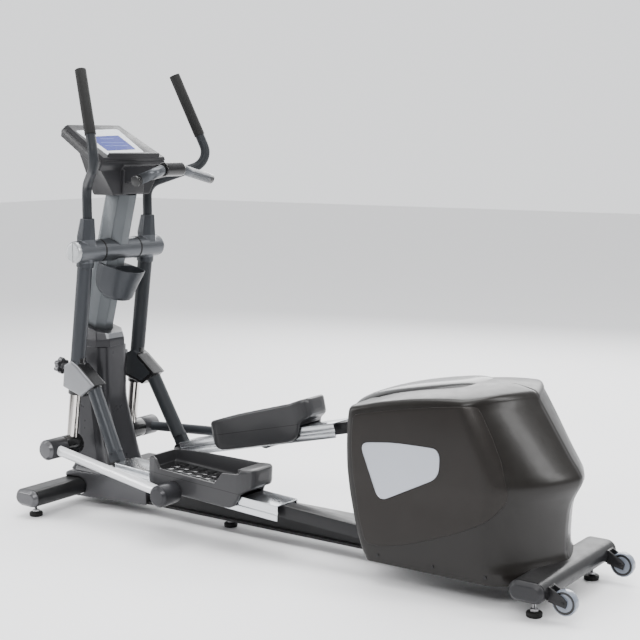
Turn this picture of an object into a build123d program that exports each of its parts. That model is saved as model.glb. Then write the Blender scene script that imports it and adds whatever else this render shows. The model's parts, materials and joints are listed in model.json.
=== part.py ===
from build123d import *
import os
from math import atan2, cos, degrees, hypot, pi, radians, sin, sqrt

# Elliptical trainer, in millimetres. The origin is on the floor under the middle of the
# footprint. +X runs from the console to the drive housing, +Y is the user's right when the
# user faces the console, and +Z is up. Everything on the arms is drawn on the left side first
# and turned over for the right, so SIDES gives each side its sign.

SIDES = {"left": -1, "right": 1}

# ---- Frame
FRONT_FOOT_X = -1010
REAR_FOOT_X = 929
FRONT_FOOT_Y = 300
REAR_FOOT_Y = 200
MID_FOOT_X = -345
STABILISER_DEPTH = 112
STABILISER_HEIGHT = 62
FRONT_STABILISER_Z = 74
REAR_STABILISER_Z = 88
FRONT_STABILISER_HALF = 335
REAR_STABILISER_HALF = 250
CAP_LENGTH = 18
BEAM_HALF = 44
BEAM_BOTTOM = 38
BEAM_TOP = 118
BEAM_WALL = 4
FLANGE_HALF = 56
FLANGE_THICKNESS = 8

# ---- Mast
MAST_LOW = Vector(-977, 0, 660)
MAST_HIGH = Vector(-838, 0, 1170)
MAST_DEPTH = 114
MAST_WIDTH = 90
MAST_CHAMFER = 26
MAST_WALL = 4

# ---- Swing axle and arms
AXLE_X = -869
AXLE_Z = 958
AXLE_RADIUS = 12.5
BARREL_RADIUS = 40
BARREL_SPLIT = 92
BARREL_END = 213
ARM_Y = 157
ARM_TILT = 7.7
ARM_TUBE_RADIUS = 27
STRIDE_TUBE_RADIUS = 20
STRIDE_TOP = 250
KNOB_DISTANCE = 440
ARM_TUBE_END = 528
HUB_DISTANCE = 720
RUNNING_FIT = 0.05
HANDLE_RADIUS = 17
FOAM_RADIUS = 19.5
HUB_RADIUS = 37
HUB_SPLIT = 205
HUB_END = 280
PIN_RADIUS = 10

# ---- Rails, pedals and links
RAIL_Y = 175
RAIL_PIVOT = Vector(-708, 0, 203)
RAIL_START = 28
RAIL_END = 742
RAIL_HALF_WIDTH = 55
RAIL_HALF_HEIGHT = 26
RAIL_WALL = 5
ARM_SECTION_HALF = 25
ARM_SECTION_LOW = -19
LINK_LENGTH = 580
LINK_RADIUS = 18
LINK_FRONT_Y = 245
LINK_REAR_Y = 289
REAR_SLEEVE = (252, 326)
PEDAL_PIVOT_DROP = -12
PEDAL_LENGTH = 455
PEDAL_FRONT_GAP = 132
PEDAL_HALF_WIDTH = 75
PEDAL_LOW = -22
PEDAL_SPLIT = 38
PEDAL_WALL = 7
FOOTBED_TOP = 46

# ---- Crank and flywheel
CRANK_CENTRE = Vector(580, 0, 312)
CRANK_RADIUS = 184
CRANK_AXLE_RADIUS = 12.5
CRANK_PULLEY_RADIUS = 150
CRANK_ARM_Y = (118, 134)
PIN_TIP_Y = 148.5
BEARING_Y = (150.5, 189)
BEARING_RADIUS = 32
FLYWHEEL_CENTRE = Vector(795, 0, 236)
FLYWHEEL_RADIUS = 98
FLYWHEEL_PULLEY_RADIUS = 25
PLATE_Y = (45, 53)
BELT_THICKNESS = 4
BELT_Y = (14, 32)

# ---- Transport wheels
WHEEL_X = 1028
WHEEL_Z = 64
WHEEL_Y = 207
WHEEL_RADIUS = 38
WHEEL_WIDTH = 24

# ---- Drive housing
HOUSING_HALF = 240
SHELL = 4
SLOT_Y = (140, 211)
SLOT_Z = (88, 528)
SCREW_X = (422, 615, 790)
SCREW_Z = 98

# ---- Console
CONSOLE_TILT = 30


# ------------------------------------------------------------------ shape helpers

def rod(start, end, radius):
    """A round bar from start to end."""
    start, end = Vector(start), Vector(end)
    return Solid.make_cylinder(radius, (end - start).length, Plane(start, z_dir=end - start))


def pipe(start, end, radius, bore):
    """A round tube from start to end, open at both ends."""
    return rod(start, end, radius) - rod(start, end, bore)


def cross_rod(x, z, y_range, radius):
    """A round bar along Y."""
    return rod((x, y_range[0], z), (x, y_range[1], z), radius)


def block(x_range, y_range, z_range):
    """An upright box given by its low and high limits."""
    lows, highs = zip(x_range, y_range, z_range)
    size = [high - low for low, high in zip(lows, highs)]
    return Pos(*lows) * Box(*size, align=(Align.MIN, Align.MIN, Align.MIN))


def side_prism(outline, y_range):
    """An outline of (x, z) points, carried along Y."""
    corners = [Vector(x, y_range[0], z) for x, z in outline]
    face = Face(Wire.make_polygon(corners, close=True))
    return Solid.extrude(face, Vector(0, y_range[1] - y_range[0], 0))


def stack(sections):
    """A ruled solid through closed outlines, each a list of points."""
    wires = [Wire.make_polygon([Vector(*p) for p in outline], close=True) for outline in sections]
    return Solid.make_loft(wires, ruled=True)


def turned_over(shape):
    """The same shape on the other side of the XZ plane."""
    return shape.mirror(Plane.XZ)


def for_side(shape, sign):
    """A shape drawn on the right side, for the side whose sign is given."""
    return shape if sign > 0 else turned_over(shape)


def both_sides(shape):
    """A shape and its mirror image, as two separate solids."""
    return [shape, turned_over(shape)]


def oval(depth, height):
    """An upright oval section, in the XZ plane."""
    return Plane.XZ * SlotOverall(depth, height)


# ------------------------------------------------------------------ linkage geometry

def crank_phase():
    """The crank's angle from upright at which both arms hang at the same angle."""
    reach = CRANK_CENTRE - RAIL_PIVOT
    return -atan2(reach.Z, reach.X)


def crank_pin(sign):
    """The crank pin's centre: up on the right side, down on the left."""
    angle = crank_phase()
    offset = Vector(sin(angle), 0, cos(angle)) * CRANK_RADIUS * sign
    return CRANK_CENTRE + offset


def rail_length():
    """From the rail's front pivot to its crank pin."""
    return (crank_pin(1) - RAIL_PIVOT).length


def rail_pitch(sign):
    """The rail's pitch in degrees, rear end up."""
    reach = crank_pin(sign) - RAIL_PIVOT
    return degrees(atan2(reach.Z, reach.X))


def arm_point(distance, y=ARM_Y, forward=0):
    """A point on the lower arm's line, so far below the axle and so far in front of the line."""
    tilt = radians(ARM_TILT)
    x = AXLE_X - distance * sin(tilt) - forward * cos(tilt)
    z = AXLE_Z - distance * cos(tilt) + forward * sin(tilt)
    return Vector(x, y, z)


def pedal_station(sign):
    """How far along its rail the pedal's link pivot lies, so that the link reaches it."""
    pitch = radians(rail_pitch(sign))
    reach = arm_point(HUB_DISTANCE, 0) - RAIL_PIVOT
    along = reach.X * cos(pitch) + reach.Z * sin(pitch)
    up = reach.Z * cos(pitch) - reach.X * sin(pitch)
    return along + sqrt(LINK_LENGTH ** 2 - (PEDAL_PIVOT_DROP - up) ** 2)


def on_rail(shape, sign):
    """Places a shape drawn with the rail's pivot at the origin and the rail along X."""
    return Pos(RAIL_PIVOT.X, 0, RAIL_PIVOT.Z) * Rot(0, -rail_pitch(sign), 0) * shape


def rail_point(along, up, y, sign):
    """The same placing, for one point."""
    pitch = radians(rail_pitch(sign))
    x = RAIL_PIVOT.X + along * cos(pitch) - up * sin(pitch)
    z = RAIL_PIVOT.Z + along * sin(pitch) + up * cos(pitch)
    return Vector(x, y, z)


# ------------------------------------------------------------------ frame

def main_beam():
    rear = REAR_FOOT_X - STABILISER_DEPTH / 2
    front = FRONT_FOOT_X + STABILISER_DEPTH / 2
    outer = block((front, rear), (-BEAM_HALF, BEAM_HALF), (BEAM_BOTTOM, BEAM_TOP))
    hollow = block((front + BEAM_WALL, rear - BEAM_WALL), (-BEAM_HALF + BEAM_WALL, BEAM_HALF - BEAM_WALL),
                   (BEAM_BOTTOM + BEAM_WALL, BEAM_TOP - BEAM_WALL))
    flange = block((front, rear), (-FLANGE_HALF, FLANGE_HALF), (BEAM_BOTTOM, BEAM_BOTTOM + FLANGE_THICKNESS))
    stub_low = Vector(-960, 0, BEAM_TOP - 2)
    stub = rod(stub_low, (MAST_LOW.X, 0, MAST_LOW.Z - 1), 32) - rod(stub_low, MAST_LOW, 29)
    return (outer + flange + stub) - hollow


def stabiliser(x, z, half_length):
    section = oval(STABILISER_DEPTH, STABILISER_HEIGHT) - oval(STABILISER_DEPTH - 6, STABILISER_HEIGHT - 6)
    bar = extrude(section, half_length, both=True)
    return Pos(x, 0, z) * bar


def stabiliser_cap(x, z, end):
    """A plug with a plate that dies away at its rim."""
    plate = extrude(oval(STABILISER_DEPTH, STABILISER_HEIGHT), CAP_LENGTH, dir=(0, 1, 0))
    plate = chamfer(plate.faces().sort_by(Axis.Y)[-1].edges(), 12)
    return Pos(x, end, z) * plate


def stabiliser_caps():
    front = stabiliser_cap(FRONT_FOOT_X, FRONT_STABILISER_Z, FRONT_STABILISER_HALF)
    rear = stabiliser_cap(REAR_FOOT_X, REAR_STABILISER_Z, REAR_STABILISER_HALF)
    return both_sides(front) + both_sides(rear)


def levelling_foot(x, y, top):
    """A threaded stud on a round pad."""
    pad = rod((x, y, 0), (x, y, 16), 24)
    pad = chamfer(pad.faces().sort_by(Axis.Z)[-1].edges(), 4)
    nut = Pos(x, y, 16) * extrude(RegularPolygon(13, 6), 8)
    return pad + nut + rod((x, y, 20), (x, y, top), 5)


def levelling_feet():
    places = [(FRONT_FOOT_X, FRONT_FOOT_Y, FRONT_STABILISER_Z), (REAR_FOOT_X, REAR_FOOT_Y, REAR_STABILISER_Z)]
    feet = [levelling_foot(x, y * sign, z - STABILISER_HEIGHT / 2)
            for x, y, z in places for sign in SIDES.values()]
    return feet + [levelling_foot(MID_FOOT_X, 0, BEAM_BOTTOM)]


# ------------------------------------------------------------------ mast

def mast_section(depth, width, chamfer_size):
    plain = Rectangle(depth, width)
    return chamfer(plain.vertices(), chamfer_size)


def mast_plane():
    """The plane across the column at its lower end."""
    return Plane(MAST_LOW, x_dir=(1, 0, 0), z_dir=MAST_HIGH - MAST_LOW)


def mast_column():
    """The leaning, chamfered column, with the cross barrel's hole through it."""
    path = mast_plane()
    height = (MAST_HIGH - MAST_LOW).length
    outer = extrude(path * mast_section(MAST_DEPTH, MAST_WIDTH, MAST_CHAMFER), height)
    inner = extrude(path * mast_section(MAST_DEPTH - 2 * MAST_WALL, MAST_WIDTH - 2 * MAST_WALL,
                                        MAST_CHAMFER - 2), height)
    return outer - inner - cross_rod(AXLE_X, AXLE_Z, (-MAST_WIDTH, MAST_WIDTH), BARREL_RADIUS)


def axle_housing():
    """The fixed barrel through the column, with a bush pressed in at each end."""
    span = (-BARREL_SPLIT, BARREL_SPLIT)
    barrel = cross_rod(AXLE_X, AXLE_Z, span, BARREL_RADIUS)
    hollow = cross_rod(AXLE_X, AXLE_Z, (12 - BARREL_SPLIT, BARREL_SPLIT - 12), BARREL_RADIUS - 5)
    return barrel - hollow - cross_rod(AXLE_X, AXLE_Z, span, AXLE_RADIUS)


def swing_axle():
    return cross_rod(AXLE_X, AXLE_Z, (4 - BARREL_END, BARREL_END - 4), AXLE_RADIUS)


def ring(x_range, half_width, z, corner):
    """An eight-sided outline at one height."""
    x0, x1 = x_range
    return [(x0, corner - half_width, z), (x0 + corner, -half_width, z), (x1 - corner, -half_width, z),
            (x1, corner - half_width, z), (x1, half_width - corner, z), (x1 - corner, half_width, z),
            (x0 + corner, half_width, z), (x0, half_width - corner, z)]


def mast_shroud():
    """The tapered cover round the mast's foot."""
    outer = [ring((-1062, -770), 92, 128, 40), ring((-1040, -825), 78, 190, 36),
             ring((-1041, -880), 68, 390, 32), ring((-1038, -882), 70, 596, 32)]
    inner = [ring((-1058, -774), 88, 127, 38), ring((-1036, -829), 74, 190, 34),
             ring((-1037, -884), 64, 390, 30), ring((-1034, -886), 66, 597, 30)]
    return stack(outer) - stack(inner)


def mast_collar():
    """The cap that closes the shroud round the leaning column."""
    outer = stack([ring((-1042, -878), 72, 596, 33), ring((-1042, -878), 72, 622, 33),
                   ring((-1040, -896), 60, 692, 28)])
    path = mast_plane()
    sleeve = extrude(path * mast_section(MAST_DEPTH + 1, MAST_WIDTH + 1, MAST_CHAMFER), 80, both=True)
    below = stack([ring((-1037, -883), 67, 595, 31), ring((-1034, -890), 64, 640, 31)])
    above = extrude(path * Pos(0, 0, 12) * Rectangle(400, 400), 100)
    return outer - sleeve - below - above


def base_cover():
    """The moulded cover where the beam meets the front stabiliser."""
    tube = extrude(oval(STABILISER_DEPTH + 1, STABILISER_HEIGHT + 1), 200, both=True)
    cover = base_cover_body(0) - base_cover_body(4) - Pos(FRONT_FOOT_X, 0, FRONT_STABILISER_Z) * tube
    beam_way = block((-840, -600), (-BEAM_HALF - 1, BEAM_HALF + 1), (0, BEAM_TOP + 1))
    flange_way = block((-760, -600), (-FLANGE_HALF - 1, FLANGE_HALF + 1), (0, BEAM_BOTTOM + FLANGE_THICKNESS + 1))
    stub_way = rod((-960, 0, BEAM_TOP - 2), (MAST_LOW.X, 0, MAST_LOW.Z), 33)
    return cover - beam_way - flange_way - stub_way


def base_cover_body(inset):
    """The cover's outer surface, or the surface so far inside it."""
    plan = [(-1066 + inset, 92 - inset), (-1044, 116 - inset), (-690 - inset, 64 - inset)]
    outline = plan + [(x, -y) for x, y in reversed(plan)]
    slab = extrude(make_face(Polyline(*outline, close=True)), 130 - inset)
    side = [(-1066, 34 - inset * 3), (-690, 34 - inset * 3), (-690, 92 - inset), (-800, 128 - inset),
            (-1030, 128 - inset), (-1066, 108 - inset)]
    return (Pos(0, 0, 34 - inset * 2) * slab) & side_prism(side, (-200, 200))


def cup_holder():
    """A round cup, its mouth turned down towards the user, on a block that hugs the column."""
    cup = stack_cone((-850, 0, 760), 45, (-790, 0, 910), 56)
    well = stack_cone((-847, 0, 767), 41, (-789, 0, 912), 52)
    back = side_prism([(-932, 890), (-962, 770), (-850, 762), (-806, 890)], (-50, 50))
    column = extrude(mast_plane() * mast_section(MAST_DEPTH, MAST_WIDTH, MAST_CHAMFER), 600)
    above = Pos(-800, 0, 885) * Rot(0, 12, 0) * Pos(0, 0, 55) * Box(400, 300, 110)
    return (cup + back) - well - column - above


def stack_cone(low, low_radius, high, high_radius):
    """A leaning cone between two level circles."""
    wires = [Wire.make_circle(low_radius, Plane(low)), Wire.make_circle(high_radius, Plane(high))]
    return Solid.make_loft(wires, ruled=True)


# ------------------------------------------------------------------ console

def console_plane(x, z):
    return Plane((x, 0, z), x_dir=(cos(radians(CONSOLE_TILT)), 0, -sin(radians(CONSOLE_TILT))),
                 z_dir=(sin(radians(CONSOLE_TILT)), 0, cos(radians(CONSOLE_TILT))))


BEZEL = console_plane(-880, 1338)


def bezel_outline(depth_low, depth_high, half_top, half_bottom, height):
    """A symmetric four-sided outline on the display's plane, height above it."""
    corners = [(depth_low, -half_top), (depth_high, -half_bottom), (depth_high, half_bottom), (depth_low, half_top)]
    return [tuple(BEZEL.from_local_coords(Vector(u, v, height))) for u, v in corners]


def console_back():
    """The thin rim behind the display and the bowl under it, down to the top of the mast."""
    rim = stack([bezel_outline(-120, 122, 138, 164, 0), bezel_outline(-124, 127, 142, 168, -14),
                 bezel_outline(-120, 124, 138, 164, -38)])
    bowl = stack([bezel_outline(-56, 122, 122, 158, -30), bowl_floor(0)])
    inside = stack([bezel_outline(-116, 118, 134, 160, 1), bezel_outline(-116, 120, 134, 160, -33)])
    inside = inside + stack([bezel_outline(-50, 116, 117, 152, -28), bowl_floor(6)])
    snout = stack([[(-790, -52, 1196), (-790, -52, 1258), (-790, 52, 1258), (-790, 52, 1196)],
                   [(-608, -34, 1232), (-608, -34, 1268), (-608, 34, 1268), (-608, 34, 1232)]])
    barrel = cross_rod(-596, 1250, (-48, 48), 25)
    column = extrude(mast_plane() * mast_section(MAST_DEPTH, MAST_WIDTH, MAST_CHAMFER), 600)
    shell = (rim + bowl) - inside
    spine_hole = cross_rod(-596, 1250, (-60, 60), 15)
    return ((shell + (snout - (rim + bowl))) + barrel) - column - spine_hole


def bowl_floor(inset):
    """The bowl's lowest outline, or one so far inside it."""
    low, high, half, z = -892 + inset, -788 - inset, 92 - inset, 1156 + inset
    return [(low, -half, z), (high, -half, z), (high, half, z), (low, half, z)]


def console_face():
    """The plate that carries the display, with the rack ledge along its lower edge."""
    plate = stack([bezel_outline(-120, 122, 138, 164, 0.2), bezel_outline(-114, 118, 132, 158, 12)])
    window = stack([bezel_outline(-42, 48, 62, 76, 6), bezel_outline(-42, 48, 62, 76, 20)])
    ledge = stack([bezel_outline(106, 118, 130, 130, 11), bezel_outline(106, 114, 128, 128, 26)])
    return (plate + ledge) - window


def lcd_window():
    return stack([bezel_outline(-41.5, 47.5, 61.5, 75.5, 6.2), bezel_outline(-41.5, 47.5, 61.5, 75.5, 12.4)])


def pulse_spine(sign):
    """The bent end of the pulse bar that carries one grip."""
    return (-596, 44 * sign, 1250), (-586, 196 * sign, 1213)


def pulse_bar():
    root, tip = pulse_spine(1)
    grip = rod(root, tip, 12)
    middle = cross_rod(-596, 1250, (-48, 48), 14.5)
    return middle + grip + turned_over(grip)


def pulse_grips():
    """A split metal sleeve and a domed plug on each end of the bar."""
    root, tip = (Vector(p) for p in pulse_spine(1))
    along = (tip - root).normalized()
    sleeve = pipe(root + along * 10, tip - along * 14, 18, 12)
    plug = rod(tip - along * 14, tip + along * 4, 18)
    plug = plug - rod(root, tip, 12)
    return both_sides(sleeve) + both_sides(plug)


# ------------------------------------------------------------------ swing arms

HANDLE_FOOT = Vector(-859, ARM_Y, 1040)
HANDLE_ELBOW = Vector(-671, 303, 1272)
HANDLE_TIP = Vector(-790, 242, 1586)


def handle_path():
    """The bent handle's centre line: straight up, outwards and back, then up to the tip."""
    points = [HANDLE_FOOT, HANDLE_FOOT + Vector(0, 0, 148), HANDLE_ELBOW, HANDLE_TIP]
    return FilletPolyline(*[tuple(point) for point in points], radius=62)


def handle_tube():
    path = handle_path()
    tube = Circle(HANDLE_RADIUS) - Circle(HANDLE_RADIUS - 2.5)
    return sweep(Plane(path @ 0, z_dir=path % 0) * tube, path=path)


def foam_grip():
    """The foam sleeve over the handle's straight upper run, closed at its tip."""
    along = (HANDLE_TIP - HANDLE_ELBOW).normalized()
    low = HANDLE_ELBOW + along * 105
    return rod(low, HANDLE_TIP + along * 3, FOAM_RADIUS) - rod(low, HANDLE_TIP, HANDLE_RADIUS)


def swing_hub():
    """The barrel on the axle, with the ferrule that holds the handle and its end cap."""
    barrel = cross_rod(AXLE_X, AXLE_Z, (BARREL_SPLIT + 1, BARREL_END), BARREL_RADIUS)
    ferrule = stack([ring_at(AXLE_X + 2, ARM_Y, AXLE_Z + 20, 33, 31), ring_at(AXLE_X + 2, ARM_Y, 1012, 33, 31),
                     ring_at(HANDLE_FOOT.X, ARM_Y, 1076, 25, 24)])
    socket = pipe(arm_point(20), arm_point(58), ARM_TUBE_RADIUS + 4, ARM_TUBE_RADIUS - 0.1)
    cap = cross_rod(AXLE_X, AXLE_Z, (BARREL_END, BARREL_END + 10), BARREL_RADIUS - 2)
    cap = chamfer(cap.faces().sort_by(Axis.Y)[-1].edges(), 6)
    body = barrel + ferrule + socket
    bore = cross_rod(AXLE_X, AXLE_Z, (0, BARREL_END), AXLE_RADIUS + RUNNING_FIT)
    pocket = rod(HANDLE_FOOT, HANDLE_FOOT + Vector(0, 0, 60), HANDLE_RADIUS)
    return [body - bore - pocket - rod(arm_point(38), arm_point(80), ARM_TUBE_RADIUS), cap]


def ring_at(x, y, z, half_depth, half_width):
    """An eight-sided outline about a point."""
    outline = ring((x - half_depth, x + half_depth), half_width, z, half_width * 0.58)
    return [(px, py + y, pz) for px, py, pz in outline]


BRACKET_Y = (127, 184)
BRACKET = [(-962, 545), (-925, 563), (-895, 547), (-812, 482), (-878, 434), (-972, 462)]


def bracket_inner(inset):
    """The bracket's outline, drawn in by about the wall's thickness."""
    cx = sum(x for x, z in BRACKET) / len(BRACKET)
    cz = sum(z for x, z in BRACKET) / len(BRACKET)
    return [(x + (cx - x) * inset, z + (cz - z) * inset) for x, z in BRACKET]


def lower_arm():
    """The tube below the axle, the bracket at its end and the diagonal to the rail."""
    tube = rod(arm_point(38), arm_point(ARM_TUBE_END), ARM_TUBE_RADIUS)
    shell = side_prism(BRACKET, BRACKET_Y)
    hollow = side_prism(bracket_inner(0.08), (BRACKET_Y[0] + 4, BRACKET_Y[1] - 4))
    foot = Vector(RAIL_PIVOT.X, RAIL_Y, RAIL_PIVOT.Z)
    diagonal_top = Vector(-850, 157, 476)
    diagonal_end = foot + (diagonal_top - foot).normalized() * 48
    diagonal = rod(diagonal_top, diagonal_end, 26) - rod(diagonal_top, diagonal_end, 22)
    eye = rod_plate(foot, diagonal_end, 26, 24, (RAIL_Y - 15, RAIL_Y + 15))
    bore = rod(arm_point(0), arm_point(700), STRIDE_TUBE_RADIUS + RUNNING_FIT)
    pin_hole = cross_rod(foot.X, foot.Z, (150, 200), PIN_RADIUS + RUNNING_FIT)
    knob_hole = rod(arm_point(KNOB_DISTANCE), arm_point(KNOB_DISTANCE, forward=80), 5.4)
    return (tube + (shell - hollow) + diagonal + eye) - bore - pin_hole - knob_hole


def bracket_cover():
    """The moulded side plate on the bracket's outer face."""
    plate = side_prism(bracket_inner(0.02), (BRACKET_Y[1] + 0.2, BRACKET_Y[1] + 9))
    return chamfer(plate.faces().sort_by(Axis.Y)[-1].edges(), 5)


def stride_knob():
    """A six-lobed knob on its stud."""
    stud_start = arm_point(KNOB_DISTANCE, forward=22)
    back, front = arm_point(KNOB_DISTANCE, forward=72), arm_point(KNOB_DISTANCE, forward=92)
    knob = rod(back, front, 24)
    across = Plane(back, z_dir=front - back)
    for step in range(6):
        centre = across.from_local_coords(Vector(22, 0, 0).rotate(Axis.Z, 60 * step))
        knob = knob + rod(centre, centre + (front - back), 9)
    return knob + rod(stud_start, back, 5) + rod(arm_point(KNOB_DISTANCE, forward=56), back, 12)


def stride_tube():
    """The sliding tube with the fixed part of its cross hub."""
    tube = rod(arm_point(STRIDE_TOP), arm_point(HUB_DISTANCE - 30), STRIDE_TUBE_RADIUS)
    tube = tube - rod(arm_point(STRIDE_TOP), arm_point(HUB_DISTANCE - 40), STRIDE_TUBE_RADIUS - 2.5)
    hub = arm_point(HUB_DISTANCE)
    barrel = cross_rod(hub.X, hub.Z, (132, HUB_SPLIT), HUB_RADIUS)
    return (tube + barrel) - cross_rod(hub.X, hub.Z, (100, 300), PIN_RADIUS + RUNNING_FIT)


def link_pin():
    hub = arm_point(HUB_DISTANCE)
    return cross_rod(hub.X, hub.Z, (134, HUB_END - 2), PIN_RADIUS)


def link_tube(sign):
    """The link with its two sleeves, each closed by a domed cap."""
    hub = arm_point(HUB_DISTANCE)
    far = rail_point(pedal_station(sign), PEDAL_PIVOT_DROP, 0, sign)
    front = cross_rod(hub.X, hub.Z, (HUB_SPLIT + 1, HUB_END), HUB_RADIUS)
    front = front - cross_rod(hub.X, hub.Z, (200, HUB_END - 1), PIN_RADIUS + RUNNING_FIT)
    rear = cross_rod(far.X, far.Z, REAR_SLEEVE, HUB_RADIUS)
    start, end = Vector(hub.X, LINK_FRONT_Y, hub.Z), Vector(far.X, LINK_REAR_Y, far.Z)
    bar = rod(start, end, LINK_RADIUS) - rod(start, end, LINK_RADIUS - 3)
    bar = bar - cross_rod(hub.X, hub.Z, (200, 300), HUB_RADIUS - 1) - cross_rod(far.X, far.Z, (200, 360), HUB_RADIUS - 1)
    caps = [dome(hub, HUB_END), dome(far, REAR_SLEEVE[1])]
    return [front + bar + rear] + caps


def dome(centre, start):
    cap = cross_rod(centre.X, centre.Z, (start, start + 12), HUB_RADIUS - 1)
    return chamfer(cap.faces().sort_by(Axis.Y)[-1].edges(), 9)


# ------------------------------------------------------------------ rails and pedals, drawn along X

def rail_pin():
    return cross_rod(RAIL_PIVOT.X, RAIL_PIVOT.Z, (132, 218), PIN_RADIUS)


def rail_channel():
    """An upside-down aluminium channel with a groove along each side."""
    low, high = RAIL_Y - RAIL_HALF_WIDTH, RAIL_Y + RAIL_HALF_WIDTH
    height = (-RAIL_HALF_HEIGHT, RAIL_HALF_HEIGHT)
    outer = block((RAIL_START, RAIL_END), (low, high), height)
    inner = block((RAIL_START, RAIL_END), (low + RAIL_WALL, high - RAIL_WALL),
                  (-RAIL_HALF_HEIGHT, RAIL_HALF_HEIGHT - RAIL_WALL))
    grooves = [block((RAIL_START, RAIL_END), (y - 2.5, y + 2.5), (-5, 5)) for y in (low, high)]
    return outer - inner - grooves[0] - grooves[1]


def pedal_arm():
    """The steel bar under the channel, with its front clevis and rear bearing housing."""
    reach = rail_length()
    bar = block((40, reach - 20), (RAIL_Y - ARM_SECTION_HALF, RAIL_Y + ARM_SECTION_HALF),
                (ARM_SECTION_LOW, RAIL_HALF_HEIGHT - RAIL_WALL))
    hollow = block((60, reach - 40), (RAIL_Y - ARM_SECTION_HALF + 3, RAIL_Y + ARM_SECTION_HALF - 3),
                   (ARM_SECTION_LOW + 3, RAIL_HALF_HEIGHT - RAIL_WALL - 3))
    yoke = block((34, 60), (136, 214), (ARM_SECTION_LOW, RAIL_HALF_HEIGHT - RAIL_WALL))
    ears = None
    for span in ((136, 154), (196, 214)):
        ear = cross_rod(0, 0, span, 19) + block((0, 40), span, (-19, 19))
        ears = ear if ears is None else ears + ear
    bearing = cross_rod(reach, 0, BEARING_Y, BEARING_RADIUS)
    bolt = cross_rod(reach, 0, (BEARING_Y[1], BEARING_Y[1] + 8), 14)
    holes = cross_rod(0, 0, (100, 250), PIN_RADIUS + RUNNING_FIT)
    return (bar + yoke + ears + bearing + bolt) - hollow - holes


def pedal_limits(sign):
    front = pedal_station(sign) - PEDAL_FRONT_GAP
    return front, front + PEDAL_LENGTH


def pedal_block(sign, z_range, inset, corner):
    """An upright block with the pedal's rounded plan, drawn in by inset."""
    front, rear = pedal_limits(sign)
    low, high = RAIL_Y - PEDAL_HALF_WIDTH, RAIL_Y + PEDAL_HALF_WIDTH
    body = block((front + inset, rear - inset), (low + inset, high - inset), z_range)
    return fillet(body.edges().filter_by(Axis.Z), corner)


def pedal_base(sign):
    """The lower shell, which straddles the rail, with four glide pads inside it."""
    front, rear = pedal_limits(sign)
    shell = pedal_block(sign, (PEDAL_LOW, PEDAL_SPLIT), 0, 26)
    side_gap = RAIL_HALF_WIDTH + 3
    tunnel = block((front - 5, rear + 5), (RAIL_Y - side_gap, RAIL_Y + side_gap), (PEDAL_LOW - 1, RAIL_HALF_HEIGHT + 4))
    pads = []
    for x in (front + 60, rear - 100):
        for side in (-1, 1):
            y = RAIL_Y + 36 * side
            pads.append(block((x, x + 40), (y - 10, y + 10), (RAIL_HALF_HEIGHT + 0.4, RAIL_HALF_HEIGHT + 4)))
    return [shell - tunnel] + pads


def pedal_tray(sign):
    """The upper tray: high at the toe, the inner side and the heel, low on the outer side."""
    front, rear = pedal_limits(sign)
    top = 122
    body = pedal_block(sign, (PEDAL_SPLIT + 0.3, top), 0, 26)
    well = pedal_block(sign, (FOOTBED_TOP, top + 1), PEDAL_WALL, 20)
    above = side_prism([(front - 1, 92), (front + 90, 104), (rear - 60, 112), (rear + 1, 122),
                        (rear + 1, top + 40), (front - 1, top + 40)], (0, 400))
    outer_cut = side_prism([(front - 1, 76), (front + 46, 76), (front + 64, 52), (rear - 150, 52),
                            (rear - 120, 94), (rear + 1, 98), (rear + 1, top + 40), (front - 1, top + 40)],
                           (RAIL_Y + PEDAL_HALF_WIDTH - PEDAL_WALL - 14, 400))
    return body - well - above - outer_cut


# ------------------------------------------------------------------ drive

def crank_frame():
    """Two upright plates on the beam, with a bearing boss at each axle."""
    outline = [(480, 60), (862, 60), (862, 250), (815, 275), (640, 340), (600, 356), (560, 356), (520, 330)]
    plates = []
    for span in (PLATE_Y, (-PLATE_Y[1], -PLATE_Y[0])):
        plate = side_prism(outline, span)
        for centre in (CRANK_CENTRE, FLYWHEEL_CENTRE):
            bore = CRANK_AXLE_RADIUS + RUNNING_FIT if centre is CRANK_CENTRE else 8
            plate = plate - cross_rod(centre.X, centre.Z, span, bore + 10)
        plates.append(plate)
    return plates


def crank_bearings():
    """A flanged bearing in each plate for the crank, and a bush for the flywheel's fixed axle."""
    bearings = []
    for centre, bore in ((CRANK_CENTRE, CRANK_AXLE_RADIUS + RUNNING_FIT), (FLYWHEEL_CENTRE, 8)):
        outside = bore + 10
        race = cross_rod(centre.X, centre.Z, PLATE_Y, outside)
        flange = cross_rod(centre.X, centre.Z, (PLATE_Y[1], PLATE_Y[1] + 6), outside + 8)
        bearing = (race + flange) - cross_rod(centre.X, centre.Z, (0, 90), bore)
        bearings += both_sides(bearing)
    return bearings


def crank_axle():
    span = (-CRANK_ARM_Y[1], CRANK_ARM_Y[1])
    return cross_rod(CRANK_CENTRE.X, CRANK_CENTRE.Z, span, CRANK_AXLE_RADIUS)


def crank_pulley():
    """A spoked pulley for the belt."""
    centre = CRANK_CENTRE
    disc = cross_rod(centre.X, centre.Z, BELT_Y, CRANK_PULLEY_RADIUS)
    for step in range(5):
        offset = Vector(92, 0, 0).rotate(Axis.Y, 72 * step)
        disc = disc - cross_rod(centre.X + offset.X, centre.Z + offset.Z, BELT_Y, 32)
    return disc - cross_rod(centre.X, centre.Z, BELT_Y, CRANK_AXLE_RADIUS)


def crank_arms():
    """A flat arm on each end of the axle, with a short pin towards its rail."""
    arms = []
    for sign in SIDES.values():
        pin = crank_pin(sign)
        web = rod_plate(CRANK_CENTRE, pin, 30, 22, CRANK_ARM_Y)
        web = web - cross_rod(CRANK_CENTRE.X, CRANK_CENTRE.Z, CRANK_ARM_Y, CRANK_AXLE_RADIUS)
        stub = cross_rod(pin.X, pin.Z, (CRANK_ARM_Y[1] - 1, PIN_TIP_Y), 13)
        arms.append(for_side(web + stub, sign))
    return arms


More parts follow.
